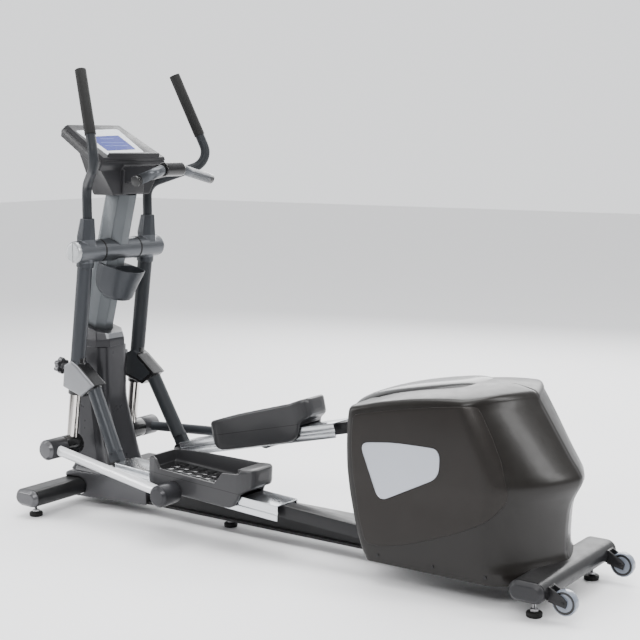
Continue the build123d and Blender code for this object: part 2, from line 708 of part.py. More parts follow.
def rod_plate(start, end, start_radius, end_radius, span):
    """A flat link with round ends."""
    along = (end - start).normalized()
    across = Vector(-along.Z, 0, along.X)
    low, high = start + across * start_radius, start - across * start_radius
    far_low, far_high = end + across * end_radius, end - across * end_radius
    web = side_prism([(p.X, p.Z) for p in (low, far_low, far_high, high)], span)
    return web + cross_rod(start.X, start.Z, span, start_radius) + cross_rod(end.X, end.Z, span, end_radius)


def flywheel():
    """The heavy rim with its small belt pulley."""
    centre = FLYWHEEL_CENTRE
    rim = cross_rod(centre.X, centre.Z, (-38, -4), FLYWHEEL_RADIUS)
    rim = rim - cross_rod(centre.X, centre.Z, (-39, -28), FLYWHEEL_RADIUS - 24)
    hub = cross_rod(centre.X, centre.Z, (-5, BELT_Y[1]), FLYWHEEL_PULLEY_RADIUS)
    return (rim + hub) - cross_rod(centre.X, centre.Z, (-60, 60), 8 + RUNNING_FIT)


def flywheel_axle():
    return cross_rod(FLYWHEEL_CENTRE.X, FLYWHEEL_CENTRE.Z, (-66, 66), 8)


def belt_loop(extra):
    """The outline round both pulleys, so far outside them, as a solid."""
    big, small = CRANK_CENTRE, FLYWHEEL_CENTRE
    span = (small - big).length
    slope = atan2(small.Z - big.Z, small.X - big.X)
    big_radius, small_radius = CRANK_PULLEY_RADIUS + extra, FLYWHEEL_PULLEY_RADIUS + extra
    lean = sqrt(span ** 2 - (big_radius - small_radius) ** 2)
    open_angle = atan2(lean, big_radius - small_radius)
    touches = []
    for centre, radius, turn in ((big, big_radius, open_angle), (small, small_radius, open_angle),
                                 (small, small_radius, -open_angle), (big, big_radius, -open_angle)):
        angle = slope + turn
        touches.append((centre.X + radius * cos(angle), centre.Z + radius * sin(angle)))
    web = side_prism(touches, BELT_Y)
    return web + cross_rod(big.X, big.Z, BELT_Y, big_radius) + cross_rod(small.X, small.Z, BELT_Y, small_radius)


def drive_belt():
    return belt_loop(0.4 + BELT_THICKNESS) - belt_loop(0.4)


def magnetic_brake():
    """The curved magnet shoe over the flywheel, on its arm from the plate."""
    centre = FLYWHEEL_CENTRE
    shoe = cross_rod(centre.X, centre.Z, (-36, -8), FLYWHEEL_RADIUS + 16)
    shoe = shoe - cross_rod(centre.X, centre.Z, (-37, -7), FLYWHEEL_RADIUS + 4)
    keep = side_prism([(centre.X, centre.Z), (centre.X + 40, centre.Z + 150), (centre.X - 95, centre.Z + 150)], (-36, -8))
    return shoe & keep


# ------------------------------------------------------------------ transport wheels

def wheel_bracket():
    """A fork on the rear stabiliser, with the wheel's bolt through it."""
    start = REAR_FOOT_X + STABILISER_DEPTH / 2 - 2
    half = WHEEL_WIDTH / 2
    fork = None
    for span in ((WHEEL_Y - half - 7, WHEEL_Y - half - 2), (WHEEL_Y + half + 2, WHEEL_Y + half + 7)):
        ear = side_prism([(start, 62), (start, 106), (WHEEL_X, 82), (WHEEL_X + 12, 70), (WHEEL_X + 8, 52)], span)
        fork = ear if fork is None else fork + ear
    bridge = block((start - 20, start + 5), (WHEEL_Y - half - 7, WHEEL_Y + half + 7), (66, 104))
    bolt = cross_rod(WHEEL_X, WHEEL_Z, (WHEEL_Y - half - 12, WHEEL_Y + half + 12), 5)
    tube = extrude(oval(STABILISER_DEPTH, STABILISER_HEIGHT), 300, both=True)
    return (fork + bridge + bolt) - Pos(REAR_FOOT_X, 0, REAR_STABILISER_Z) * tube


def transport_wheel():
    """A round tyre with a groove round its hub."""
    span = (WHEEL_Y - WHEEL_WIDTH / 2, WHEEL_Y + WHEEL_WIDTH / 2)
    wheel = cross_rod(WHEEL_X, WHEEL_Z, span, WHEEL_RADIUS)
    wheel = fillet(wheel.edges().filter_by(GeomType.CIRCLE), 6)
    return wheel - cross_rod(WHEEL_X, WHEEL_Z, span, 5 + RUNNING_FIT)


# ------------------------------------------------------------------ drive housing

def housing_ring(z, front, side_rear, centre_rear, half, inset):
    """The housing's outline at one height: flat front and sides, and a rounded rear."""
    half = half - inset
    front, side_rear, centre_rear = front + inset, side_rear - inset * 0.4, centre_rear - inset
    steps = 6
    rear = []
    for step in range(-steps, steps + 1):
        share = sin(step / steps * pi / 2)
        rear.append((side_rear + (centre_rear - side_rear) * (1 - abs(share) ** 1.55), half * share, z))
    nose = [(front + 26, half, z), (front, half - 26, z), (front, 26 - half, z), (front + 26, -half, z)]
    return rear + nose


HOUSING_LEVELS = [
    # height, front, rear at the side, rear at the centre, half width
    (74, 368, 812, 950, 236),
    (112, 352, 812, 948, 240),
    (150, 338, 800, 933, 240),
    (290, 305, 806, 944, 238),
    (338, 299, 816, 970, 240),
    (370, 297, 812, 978, 240),
    (425, 296, 790, 940, 240),
    (505, 298, 760, 888, 238),
    (560, 306, 736, 853, 234),
    (650, 330, 690, 795, 224),
]

HOUSING_ROOF = [
    # distance along X, height at the sides, height at the centre
    (200, 533, 533),
    (310, 544, 552),
    (420, 569, 588),
    (560, 592, 618),
    (700, 602, 634),
    (790, 594, 625),
    (853, 556, 589),
    (953, 400, 422),
    (1000, 330, 345),
]


def roof_section(x, side, centre, inset):
    """The arched outline the housing stays under, at one place along X."""
    crown = [(240, 0.0), (165, 0.5), (80, 0.9), (0, 1.0)]
    half = [(y, side + (centre - side) * share - inset) for y, share in crown]
    left = [(-y, z) for y, z in reversed(half[:-1])]
    return [(x, y, z) for y, z in [(300, 0), (300, side - inset)] + half + left + [(-300, side - inset), (-300, 0)]]


def housing_body(inset):
    """The whole housing as one solid, drawn in by inset."""
    walls = stack([housing_ring(*level, inset) for level in HOUSING_LEVELS])
    return walls & stack([roof_section(*station, inset) for station in HOUSING_ROOF])


def housing_shell():
    """The hollow housing with its open bottom, the two rail slots and the stabiliser's notch."""
    shell = housing_body(0) - housing_body(SHELL)
    shell = shell - block((380, 915), (-222, 222), (60, 80))
    for sign in SIDES.values():
        y_range = sorted((SLOT_Y[0] * sign, SLOT_Y[1] * sign))
        shell = shell - block((280, 420), y_range, SLOT_Z)
    notch = extrude(oval(STABILISER_DEPTH + 6, STABILISER_HEIGHT + 6), 400, both=True)
    shell = shell - Pos(REAR_FOOT_X, 0, REAR_STABILISER_Z) * notch
    shell = shell - block((REAR_FOOT_X - STABILISER_DEPTH / 2 - 3, 1100), (-400, 400), (0, REAR_STABILISER_Z))
    shell = shell - block((250, 460), (-FLANGE_HALF - 2, FLANGE_HALF + 2), (0, BEAM_TOP + 3))
    for x in SCREW_X:
        shell = shell - cross_rod(x, SCREW_Z, (-300, 300), 5.1)
    return shell - lid_solid(0.4)


LID_ROOF = [(206, 486), (237, 526), (294, 554), (423, 590), (531, 613), (600, 623), (640, 620), (668, 604)]
LID_HALF = 120


def lid_solid(grow):
    """The raised top cover's whole volume, with its rounded nose ahead of the housing."""
    low = [(560, 578 - grow), (420, 552 - grow), (330, 500 - grow), (230, 470 - grow)]
    side = side_prism([(x, z + grow) for x, z in LID_ROOF] + low, (-LID_HALF - grow, LID_HALF + grow))
    plan = [(200, 34), (206, 62), (224, 92), (270, 112), (340, LID_HALF), (560, LID_HALF), (640, 84), (690, 30)]
    half = [(x - grow if x < 500 else x + grow, y + grow) for x, y in plan]
    outline = half + [(x, -y) for x, y in reversed(half)]
    return side & Pos(0, 0, 400) * extrude(make_face(Polyline(*outline, close=True)), 300)


def housing_top():
    lid = lid_solid(0)
    hollow = side_prism([(x, z - 6) for x, z in LID_ROOF[1:-2]] + [(600, 400), (250, 400)],
                        (12 - LID_HALF, LID_HALF - 12))
    return lid - (hollow & lid_solid(-6))


def housing_half(shell, sign):
    """One side of the shell, up to the seam on the centre plane."""
    keep = block((100, 1200), (0.15, 400), (0, 800))
    return shell & for_side(keep, sign)


def side_badges():
    """A thin plate on each side of the housing: a rounded three-cornered shield."""
    corners = [(357, 442), (480, 457), (640, 455), (628, 372), (428, 268)]
    outline = FilletPolyline(*[(x, z) for x, z in corners], radius=20, close=True)
    plate = extrude(Plane.XZ * make_face(outline), 3, dir=(0, 1, 0))
    return both_sides(Pos(0, HOUSING_HALF + 0.1, 0) * plate)


def housing_screws():
    """The pan-head screws along the lower edge of each half."""
    screws = []
    for x in SCREW_X:
        screws += both_sides(cross_rod(x, SCREW_Z, (HOUSING_HALF - 6, HOUSING_HALF + 2), 5))
    return screws


# ------------------------------------------------------------------ nodes

def fixed_nodes():
    shell = housing_shell()
    return {
        "main_beam": main_beam(),
        "front_stabiliser": stabiliser(FRONT_FOOT_X, FRONT_STABILISER_Z, FRONT_STABILISER_HALF),
        "rear_stabiliser": stabiliser(REAR_FOOT_X, REAR_STABILISER_Z, REAR_STABILISER_HALF),
        "stabiliser_end_caps": stabiliser_caps(),
        "levelling_feet": levelling_feet(),
        "front_base_cover": base_cover(),
        "mast_column": mast_column(),
        "mast_shroud": mast_shroud(),
        "mast_collar": mast_collar(),
        "axle_housing": axle_housing(),
        "swing_axle": swing_axle(),
        "cup_holder": cup_holder(),
        "console_back": console_back(),
        "console_face": console_face(),
        "lcd_window": lcd_window(),
        "pulse_handlebar": [pulse_bar()] + pulse_grips(),
        "housing_left": housing_half(shell, -1),
        "housing_right": housing_half(shell, 1),
        "housing_top": housing_top(),
        "side_badges": side_badges(),
        "housing_screws": housing_screws(),
        "crank_frame": crank_frame() + [flywheel_axle()],
        "crank_bearings": crank_bearings(),
        "drive_belt": drive_belt(),
        "magnetic_brake": magnetic_brake(),
        "wheel_brackets": both_sides(wheel_bracket()),
    }


def moving_nodes():
    nodes = {
        "crank_axle": crank_axle(),
        "crank_pulley": crank_pulley(),
        "crank_arms": crank_arms(),
        "flywheel": flywheel(),
    }
    wheel = transport_wheel()
    for side, sign in SIDES.items():
        nodes[side + "_wheel"] = for_side(wheel, sign)
    return nodes


def arm_nodes(sign):
    """Everything that hangs from the axle on one side, drawn on the right."""
    return {
        "handle_tube": handle_tube(),
        "foam_grip": foam_grip(),
        "swing_hub": swing_hub(),
        "lower_arm": lower_arm(),
        "bracket_cover": bracket_cover(),
        "stride_knob": stride_knob(),
        "stride_tube": stride_tube(),
        "link_pin": link_pin(),
        "link_tube": link_tube(sign),
        "rail_pin": rail_pin(),
        "rail_channel": on_rail(rail_channel(), sign),
        "pedal_arm": on_rail(pedal_arm(), sign),
        "pedal_base": [on_rail(piece, sign) for piece in pedal_base(sign)],
        "pedal_tray": on_rail(pedal_tray(sign), sign),
    }


def solids_of(shape):
    """Every solid in a shape or in a list of shapes."""
    if isinstance(shape, (list, tuple)):
        return [solid for piece in shape for solid in solids_of(piece)]
    return list(shape.solids())


def all_nodes():
    nodes = {**fixed_nodes(), **moving_nodes()}
    for side, sign in SIDES.items():
        for name, shape in arm_nodes(sign).items():
            nodes[side + "_" + name] = [for_side(solid, sign) for solid in solids_of(shape)]
    return {name: solids_of(shape) for name, shape in nodes.items()}


os.makedirs("parts", exist_ok=True)
for name, solids in all_nodes().items():
    export_step(Compound(solids), "parts/" + name + ".step")
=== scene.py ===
# %% [markdown]
# Elliptical trainer: a floor machine with two swinging handle arms, two pedals that ride on inclined
# rails, a leaning mast with a console, and a drive housing at the rear. The measured frame comes first.
# It holds every hard part at its true size, and each new piece below is laid on it.

# %% Load the measured frame
import json
import math

import bpy
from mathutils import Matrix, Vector


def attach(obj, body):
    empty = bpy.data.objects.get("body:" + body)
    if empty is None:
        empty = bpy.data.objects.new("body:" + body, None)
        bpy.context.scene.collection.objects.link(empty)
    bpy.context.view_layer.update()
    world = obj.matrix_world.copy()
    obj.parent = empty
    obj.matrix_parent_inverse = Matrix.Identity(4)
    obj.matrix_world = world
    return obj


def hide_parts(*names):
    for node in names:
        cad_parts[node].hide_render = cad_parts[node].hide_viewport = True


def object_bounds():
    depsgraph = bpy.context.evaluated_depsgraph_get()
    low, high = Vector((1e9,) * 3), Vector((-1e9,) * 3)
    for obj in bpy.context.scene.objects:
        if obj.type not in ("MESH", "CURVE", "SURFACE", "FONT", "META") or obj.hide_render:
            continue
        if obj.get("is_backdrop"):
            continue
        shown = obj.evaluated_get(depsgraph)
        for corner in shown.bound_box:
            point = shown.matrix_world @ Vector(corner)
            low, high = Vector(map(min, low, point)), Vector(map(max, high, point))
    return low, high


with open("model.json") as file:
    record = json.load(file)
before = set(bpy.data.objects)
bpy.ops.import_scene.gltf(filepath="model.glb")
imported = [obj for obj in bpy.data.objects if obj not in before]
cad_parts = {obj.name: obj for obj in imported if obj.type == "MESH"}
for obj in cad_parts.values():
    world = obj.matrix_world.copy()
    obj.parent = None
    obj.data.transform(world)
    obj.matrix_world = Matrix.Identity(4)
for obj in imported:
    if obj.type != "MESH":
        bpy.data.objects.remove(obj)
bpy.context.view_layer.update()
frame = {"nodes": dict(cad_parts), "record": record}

# %% [markdown]
# The machine stands on a plain pale floor in soft studio light. A long lens keeps the far arm nearly as
# large as the near one. Five wide area lights give the long soft streaks that gloss plastic and tube
# show. A broad sun and a pale world fill the shadows.

# %% Camera
AIM = math.radians(35.1)
DIP = math.radians(7.7)
bpy.ops.object.camera_add(location=(2.528, -3.541, 1.35))
camera = bpy.context.object
line_of_sight = Vector((-math.sin(AIM) * math.cos(DIP), math.cos(AIM) * math.cos(DIP), -math.sin(DIP)))
camera.rotation_euler = line_of_sight.to_track_quat("-Z", "Y").to_euler()
camera.data.lens = 74.7
camera.data.sensor_width = 36
bpy.context.scene.camera = camera


# %% Lights
def area_light(name, place, target, size, power):
    bpy.ops.object.light_add(type="AREA", location=place)
    light = bpy.context.object
    light.name = name
    light.data.shape = "RECTANGLE"
    light.data.size, light.data.size_y = size
    light.data.energy = power
    light.rotation_euler = (Vector(target) - Vector(place)).to_track_quat("-Z", "Y").to_euler()


area_light("light_key", (1.6, -3.6, 3.0), (-0.1, 0, 0.6), (2.6, 1.1), 130)
area_light("light_top", (-0.3, 0.4, 4.2), (0, 0, 0.4), (3.6, 2.2), 170)
area_light("light_rear", (3.4, 0.6, 2.2), (0.5, 0, 0.4), (0.8, 2.2), 75)
area_light("light_front", (-3.2, -1.8, 1.8), (-0.8, 0, 0.8), (0.7, 2.4), 75)
area_light("light_back", (-1.0, 4.2, 2.6), (0, 0, 0.4), (5.0, 2.4), 210)

bpy.ops.object.light_add(type="SUN", location=(0, 0, 6), rotation=(math.radians(12), math.radians(8), 0))
sun = bpy.context.object
sun.data.energy = 2.0
sun.data.angle = math.radians(60)

# %% Air: white behind the machine, dim on the near side
world = bpy.data.worlds.new("studio_air")
bpy.context.scene.world = world
world.use_nodes = True
air = world.node_tree
direction = air.nodes.new("ShaderNodeTexCoord")
facing = air.nodes.new("ShaderNodeVectorMath")
facing.operation = "DOT_PRODUCT"
facing.inputs[1].default_value = (-0.575, 0.818, 0.0)
fade = air.nodes.new("ShaderNodeMapRange")
fade.interpolation_type = "SMOOTHSTEP"
for socket, value in (("From Min", -0.1), ("From Max", 0.8), ("To Min", 0.2), ("To Max", 1.5)):
    fade.inputs[socket].default_value = value
air.links.new(direction.outputs["Generated"], facing.inputs[0])
air.links.new(facing.outputs["Value"], fade.inputs["Value"])
air.links.new(fade.outputs["Result"], air.nodes["Background"].inputs["Strength"])
air.nodes["Background"].inputs["Color"].default_value = (0.97, 0.98, 1.0, 1)

# %% Floor
bpy.ops.mesh.primitive_plane_add(size=40, location=(0, 0, 0))
floor = bpy.context.object
floor.name = "floor"
floor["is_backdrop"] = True

# %% [markdown]
# Every finish is built from the same few layers: a base colour that drifts slightly over the part, a
# roughness that is never quite even, and a fine bump for the moulding grain, paint or brush lines. Real
# parts differ mostly in how strong each layer is, so one helper takes those strengths by name.


# %% A helper that mixes a finish
def add_node(tree, kind, **settings):
    node = tree.nodes.new(kind)
    for key, value in settings.items():
        setattr(node, key, value)
    return node


def noise_layer(tree, scale, detail, stretch=(1, 1, 1)):
    """Noise on the part's own coordinates, stretched along an axis where the pattern has a direction."""
    coords = add_node(tree, "ShaderNodeTexCoord")
    mapping = add_node(tree, "ShaderNodeMapping")
    mapping.inputs["Scale"].default_value = stretch
    noise = add_node(tree, "ShaderNodeTexNoise")
    noise.inputs["Scale"].default_value = scale
    noise.inputs["Detail"].default_value = detail
    tree.links.new(coords.outputs["Object"], mapping.inputs["Vector"])
    tree.links.new(mapping.outputs["Vector"], noise.inputs["Vector"])
    return noise


def finish(name, color, roughness, metallic=0.0, coat=0.0, drift=0.12, uneven=0.08, grain=0.0,
           grain_scale=900, stretch=(1, 1, 1), dust=0.0, seam=None, shine=0.22):
    material = bpy.data.materials.new(name)
    material.use_nodes = True
    tree = material.node_tree
    shader = tree.nodes["Principled BSDF"]
    shader.inputs["Metallic"].default_value = metallic
    shader.inputs["Specular IOR Level"].default_value = shine
    shader.inputs["Coat Weight"].default_value = coat
    shader.inputs["Coat Roughness"].default_value = 0.12
    cloud = noise_layer(tree, 7, 4)
    tint = add_node(tree, "ShaderNodeMix", data_type="RGBA")
    tint.inputs["A"].default_value = [c * (1 - drift) for c in color] + [1]
    tint.inputs["B"].default_value = [min(1, c * (1 + drift)) for c in color] + [1]
    tree.links.new(cloud.outputs["Fac"], tint.inputs["Factor"])
    result = tint.outputs["Result"]
    if dust:
        result = dust_layer(tree, result, dust)
    # A thin dark line of painted shade where two shells meet, when asked for.
    if seam:
        result = seam_shade_layer(tree, result, *seam)
    tree.links.new(result, shader.inputs["Base Color"])
    smear = noise_layer(tree, 26, 7, stretch)
    spread = add_node(tree, "ShaderNodeMapRange")
    spread.inputs["From Min"].default_value = 0.3
    spread.inputs["From Max"].default_value = 0.7
    spread.inputs["To Min"].default_value = max(0.02, roughness - uneven)
    spread.inputs["To Max"].default_value = min(1, roughness + uneven)
    tree.links.new(smear.outputs["Fac"], spread.inputs["Value"])
    tree.links.new(spread.outputs["Result"], shader.inputs["Roughness"])
    if grain:
        pattern = noise_layer(tree, grain_scale, 3, stretch)
        bump = add_node(tree, "ShaderNodeBump")
        bump.inputs["Strength"].default_value = grain
        bump.inputs["Distance"].default_value = 0.0006
        tree.links.new(pattern.outputs["Fac"], bump.inputs["Height"])
        tree.links.new(bump.outputs["Normal"], shader.inputs["Normal"])
    return material


def dust_layer(tree, color, amount):
    """A pale film that gathers on faces that look up, broken by noise."""
    normal = add_node(tree, "ShaderNodeNewGeometry")
    split = add_node(tree, "ShaderNodeSeparateXYZ")
    tree.links.new(normal.outputs["Normal"], split.inputs["Vector"])
    patchy = noise_layer(tree, 45, 6)
    amount_node = add_node(tree, "ShaderNodeMath", operation="MULTIPLY", use_clamp=True)
    tree.links.new(split.outputs["Z"], amount_node.inputs[0])
    tree.links.new(patchy.outputs["Fac"], amount_node.inputs[1])
    scaled = add_node(tree, "ShaderNodeMath", operation="MULTIPLY", use_clamp=True)
    scaled.inputs[1].default_value = amount
    tree.links.new(amount_node.outputs["Value"], scaled.inputs[0])
    film = add_node(tree, "ShaderNodeMix", data_type="RGBA")
    film.inputs["B"].default_value = (0.3, 0.29, 0.27, 1)
    tree.links.new(scaled.outputs["Value"], film.inputs["Factor"])
    tree.links.new(color, film.inputs["A"])
    return film.outputs["Result"]


def seam_shade_layer(tree, color, across, height):
    """Painted shade of the gap where two shells meet: a dark line on the plane at a height along a direction.
    """
    coords = add_node(tree, "ShaderNodeTexCoord")
    along = add_node(tree, "ShaderNodeVectorMath", operation="DOT_PRODUCT")
    along.inputs[1].default_value = across
    tree.links.new(coords.outputs["Object"], along.inputs[0])
    near = add_node(tree, "ShaderNodeMath", operation="COMPARE")
    near.inputs[1].default_value = height
    near.inputs[2].default_value = 0.0007
    tree.links.new(along.outputs["Value"], near.inputs[0])
    line = add_node(tree, "ShaderNodeMix", data_type="RGBA")
    line.inputs["B"].default_value = (0.002, 0.002, 0.002, 1)
    tree.links.new(near.outputs["Value"], line.inputs["Factor"])
    tree.links.new(color, line.inputs["A"])
    return line.outputs["Result"]


# %% [markdown]
# The machine has some two dozen finishes. The big mouldings are a warm black with a light sheen. The side
# panels and covers are a grey with metal flake in it. The arms are grey powder coat. The stride tubes are
# chrome and the rails are satin aluminium with draw lines along their length.

# %% The machine's finishes
FINISH = {
    "shell_black": finish("shell_black", (0.011, 0.0098, 0.009), 0.33, coat=0.06, uneven=0.04, grain=0.04,
                          dust=0.03),
    "panel_grey": finish("panel_grey", (0.019, 0.0168, 0.0155), 0.38, metallic=0.35, coat=0.04, uneven=0.04,
                         grain=0.07, grain_scale=1500),
    "lid_black": finish("lid_black", (0.007, 0.007, 0.007), 0.2, coat=0.25, uneven=0.04, dust=0.03),
    "badge_silver": finish("badge_silver", (0.4, 0.42, 0.46), 0.34, metallic=0.75, drift=0.04, uneven=0.04,
                           grain=0.08, grain_scale=240, stretch=(1, 1, 26)),
    "beam_black": finish("beam_black", (0.01, 0.01, 0.011), 0.36, coat=0.1, uneven=0.05, grain=0.12,
                         grain_scale=420, dust=0.05),
    "arm_grey": finish("arm_grey", (0.034, 0.037, 0.042), 0.4, metallic=0.25, coat=0.05, uneven=0.04,
                       grain=0.03, grain_scale=500, shine=0.2),
    "arm_dark": finish("arm_dark", (0.02, 0.022, 0.025), 0.42, uneven=0.04, grain=0.03, shine=0.16),
    "cover_grey": finish("cover_grey", (0.085, 0.085, 0.09), 0.34, metallic=0.6, coat=0.25, uneven=0.04,
                         grain=0.06, grain_scale=1400, dust=0.03),
    "bracket_silver": finish("bracket_silver", (0.2, 0.205, 0.215), 0.36, metallic=0.5, coat=0.2, uneven=0.04,
                             grain=0.06, grain_scale=1400),
    "column_silver": finish("column_silver", (0.085, 0.092, 0.098), 0.4, metallic=0.6, coat=0.03, uneven=0.05,
                            grain=0.07, grain_scale=1200),
    "barrel_grey": finish("barrel_grey", (0.085, 0.09, 0.098), 0.34, metallic=0.6, coat=0.08, uneven=0.03),
    "shroud_grey": finish("shroud_grey", (0.028, 0.028, 0.031), 0.3, metallic=0.3, coat=0.08, uneven=0.03),
    "cap_white": finish("cap_white", (0.36, 0.37, 0.38), 0.3, metallic=0.4, coat=0.3, drift=0.03,
                        uneven=0.04),
    "link_silver": finish("link_silver", (0.72, 0.73, 0.75), 0.34, metallic=0.35, coat=0.3, drift=0.02,
                          uneven=0.03),
    "mould_dark": finish("mould_dark", (0.02, 0.02, 0.022), 0.38, coat=0.04, uneven=0.05, grain=0.12,
                         grain_scale=700, dust=0.04),
    "mould_gloss": finish("mould_gloss", (0.01, 0.01, 0.0105), 0.16, coat=0.3, uneven=0.04, grain=0.03),
    "foam_black": finish("foam_black", (0.012, 0.012, 0.012), 0.7, drift=0.2, uneven=0.06, grain=0.18,
                         grain_scale=520),
    "chrome": finish("chrome", (0.66, 0.63, 0.6), 0.08, metallic=1.0, drift=0.02, uneven=0.02),
    "rail_satin": finish("rail_satin", (0.62, 0.64, 0.66), 0.24, metallic=1.0, drift=0.03, uneven=0.03,
                         grain=0.08, grain_scale=300, stretch=(0.05, 1, 1)),
    "steel": finish("steel", (0.42, 0.42, 0.43), 0.3, metallic=1.0, uneven=0.04, grain=0.06, grain_scale=400),
    "iron": finish("iron", (0.12, 0.12, 0.125), 0.45, metallic=0.9, grain=0.4, grain_scale=250),
    "rubber": finish("rubber", (0.01, 0.01, 0.01), 0.6, grain=0.3, grain_scale=380, dust=0.06),
    "tyre_clear": finish("tyre_clear", (0.16, 0.18, 0.22), 0.12, coat=0.8, drift=0.3, uneven=0.05),
    "overlay_white": finish("overlay_white", (0.55, 0.57, 0.6), 0.32, coat=0.05, drift=0.02, uneven=0.03),
    "display_blue": finish("display_blue", (0.006, 0.018, 0.2), 0.14, coat=0.25, drift=0.08, uneven=0.03),
    "display_ink": finish("display_ink", (0.03, 0.06, 0.3), 0.2, coat=0.6, drift=0.05),
}
floor_finish = finish("floor_finish", (0.93, 0.93, 0.94), 0.7, drift=0.005, uneven=0.05)
floor.data.materials.append(floor_finish)
print(len(FINISH), "finishes")

# %% [markdown]
# Parts whose measured shape is already right keep it and only get their finish.

# %% Finishes for the measured parts that stay
PLAIN = {
    "main_beam": "beam_black", "front_stabiliser": "beam_black", "rear_stabiliser": "beam_black",
    "swing_axle": "steel", "crank_frame": "beam_black", "crank_bearings": "steel", "drive_belt": "rubber",
    "magnetic_brake": "steel", "crank_axle": "steel", "crank_pulley": "mould_dark",
    "crank_arms": "beam_black", "flywheel": "iron", "housing_screws": "beam_black",
    "axle_housing": "barrel_grey", "lcd_window": "beam_black",
}
for side in ("left", "right"):
    for node, look in (("link_pin", "steel"), ("rail_pin", "steel"), ("handle_tube", "arm_dark")):
        PLAIN[side + "_" + node] = look


def wear(obj, look):
    """Puts one finish on all of an object's slots."""
    obj.data.materials.clear()
    obj.data.materials.append(FINISH[look])


for node, look in PLAIN.items():
    wear(frame["nodes"][node], look)
print(len(PLAIN), "measured parts keep their shape")


# %% [markdown]
# Most hard parts have the right shape but knife-sharp edges. Real mouldings and castings have a small
# radius on every edge, and the highlight along it is what makes them look real. So a copy of the part is
# merged, its flat triangles are joined, and a Bevel rounds the edges.


# %% Helpers that round a measured part's edges
def deselect_all():
    if bpy.context.object and bpy.context.object.mode != "OBJECT":
        bpy.ops.object.mode_set(mode="OBJECT")
    bpy.ops.object.select_all(action="DESELECT")


def pick(piece):
    """Makes one piece the only selected and active object."""
    deselect_all()
    piece.select_set(True)
    bpy.context.view_layer.objects.active = piece


def put_on(piece, kind, **settings):
    """Adds a modifier and applies it."""
    pick(piece)
    modifier = piece.modifiers.new(kind.lower(), kind)
    for key, value in settings.items():
        setattr(modifier, key, value)
    bpy.ops.object.modifier_apply(modifier=modifier.name)


def body_of_node(node):
    for body, nodes in frame["record"]["behaviour"]["bodies"].items():
        if node in nodes:
            return body


def stand_for(piece, node, look, body=None):
    """The finished piece takes the place of a measured part and rides on its body."""
    wear(piece, look)
    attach(piece, body or body_of_node(node))
    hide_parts(node)
    return piece


def copy_of(node, name):
    piece = bpy.data.objects.new(name, frame["nodes"][node].data.copy())
    bpy.context.scene.collection.objects.link(piece)
    pick(piece)
    bpy.ops.object.mode_set(mode="EDIT")
    bpy.ops.mesh.select_all(action="SELECT")
    bpy.ops.mesh.customdata_custom_splitnormals_clear()
    bpy.ops.mesh.remove_doubles(threshold=0.00002)
    bpy.ops.mesh.dissolve_limited(angle_limit=math.radians(0.6))
    bpy.ops.object.mode_set(mode="OBJECT")
    return piece


def rounded(node, radius, look, segments=3, angle=32):
    """A measured part with rounded edges."""
    piece = copy_of(node, node + "_finished")
    put_on(piece, "BEVEL", width=radius, segments=segments, limit_method="ANGLE",
           angle_limit=math.radians(angle), harden_normals=False, use_clamp_overlap=True)
    pick(piece)
    bpy.ops.object.shade_smooth_by_angle(angle=math.radians(38))
    return stand_for(piece, node, look)


# %% [markdown]
# Cast and moulded bodies with several joined forms have no sharp inner corner either. For those the copy
# is skinned again with small even quads by a voxel Remesh, and a Smooth lets every meeting line relax
# into a fillet, as poured metal or plastic does.


# %% Helpers for soft castings and for parts with two finishes
def soften(node, look, voxel=0.002, passes=5):
    piece = copy_of(node, node + "_cast")
    put_on(piece, "REMESH", mode="VOXEL", voxel_size=voxel)
    put_on(piece, "SMOOTH", factor=0.5, iterations=passes)
    pick(piece)
    bpy.ops.object.shade_smooth()
    return stand_for(piece, node, look)


def paint(piece, look, chosen):
    """Gives some faces of a piece a second finish. chosen takes a face's middle and its direction."""
    piece.data.materials.append(FINISH[look])
    index = len(piece.data.materials) - 1
    count = 0
    for face in piece.data.polygons:
        if chosen(face.center, face.normal):
            face.material_index = index
            count += 1
    print(piece.name, "has", count, "faces in", look)


# %% Round the fixed parts
ROUNDED = {
    "mast_column": (0.003, "column_silver"), "console_face": (0.004, "mould_dark"),
    "wheel_brackets": (0.0012, "beam_black"),
}
for node, (radius, look) in ROUNDED.items():
    rounded(node, radius, look)

soften("front_base_cover", "cover_grey", 0.0025, 10)
end_caps = soften("stabiliser_end_caps", "mould_dark", 0.0015, 20)
paint(end_caps, "cover_grey", lambda c, n: c.x < 0)
console_back = soften("console_back", "mould_dark", 0.003, 4)
paint(console_back, "mould_gloss", lambda c, n: c.x > -0.64 and c.z < 1.30)
collar = soften("mast_collar", "shroud_grey", 0.0015, 8)
paint(collar, "bracket_silver", lambda c, n: n.x > 0.35 and abs(c.y) < 0.045 and c.z > 0.628)
grips = rounded("pulse_handlebar", 0.002, "barrel_grey")
paint(grips, "mould_gloss", lambda c, n: abs(c.y) < 0.054 or abs(c.y) > 0.183)

# %% Round the parts of both arms
HUB = (-0.965, 0.245)
HUB_REACH = 0.0378


def near_axis(point, centre, reach):
    return math.hypot(point.x - centre[0], point.z - centre[1]) < reach
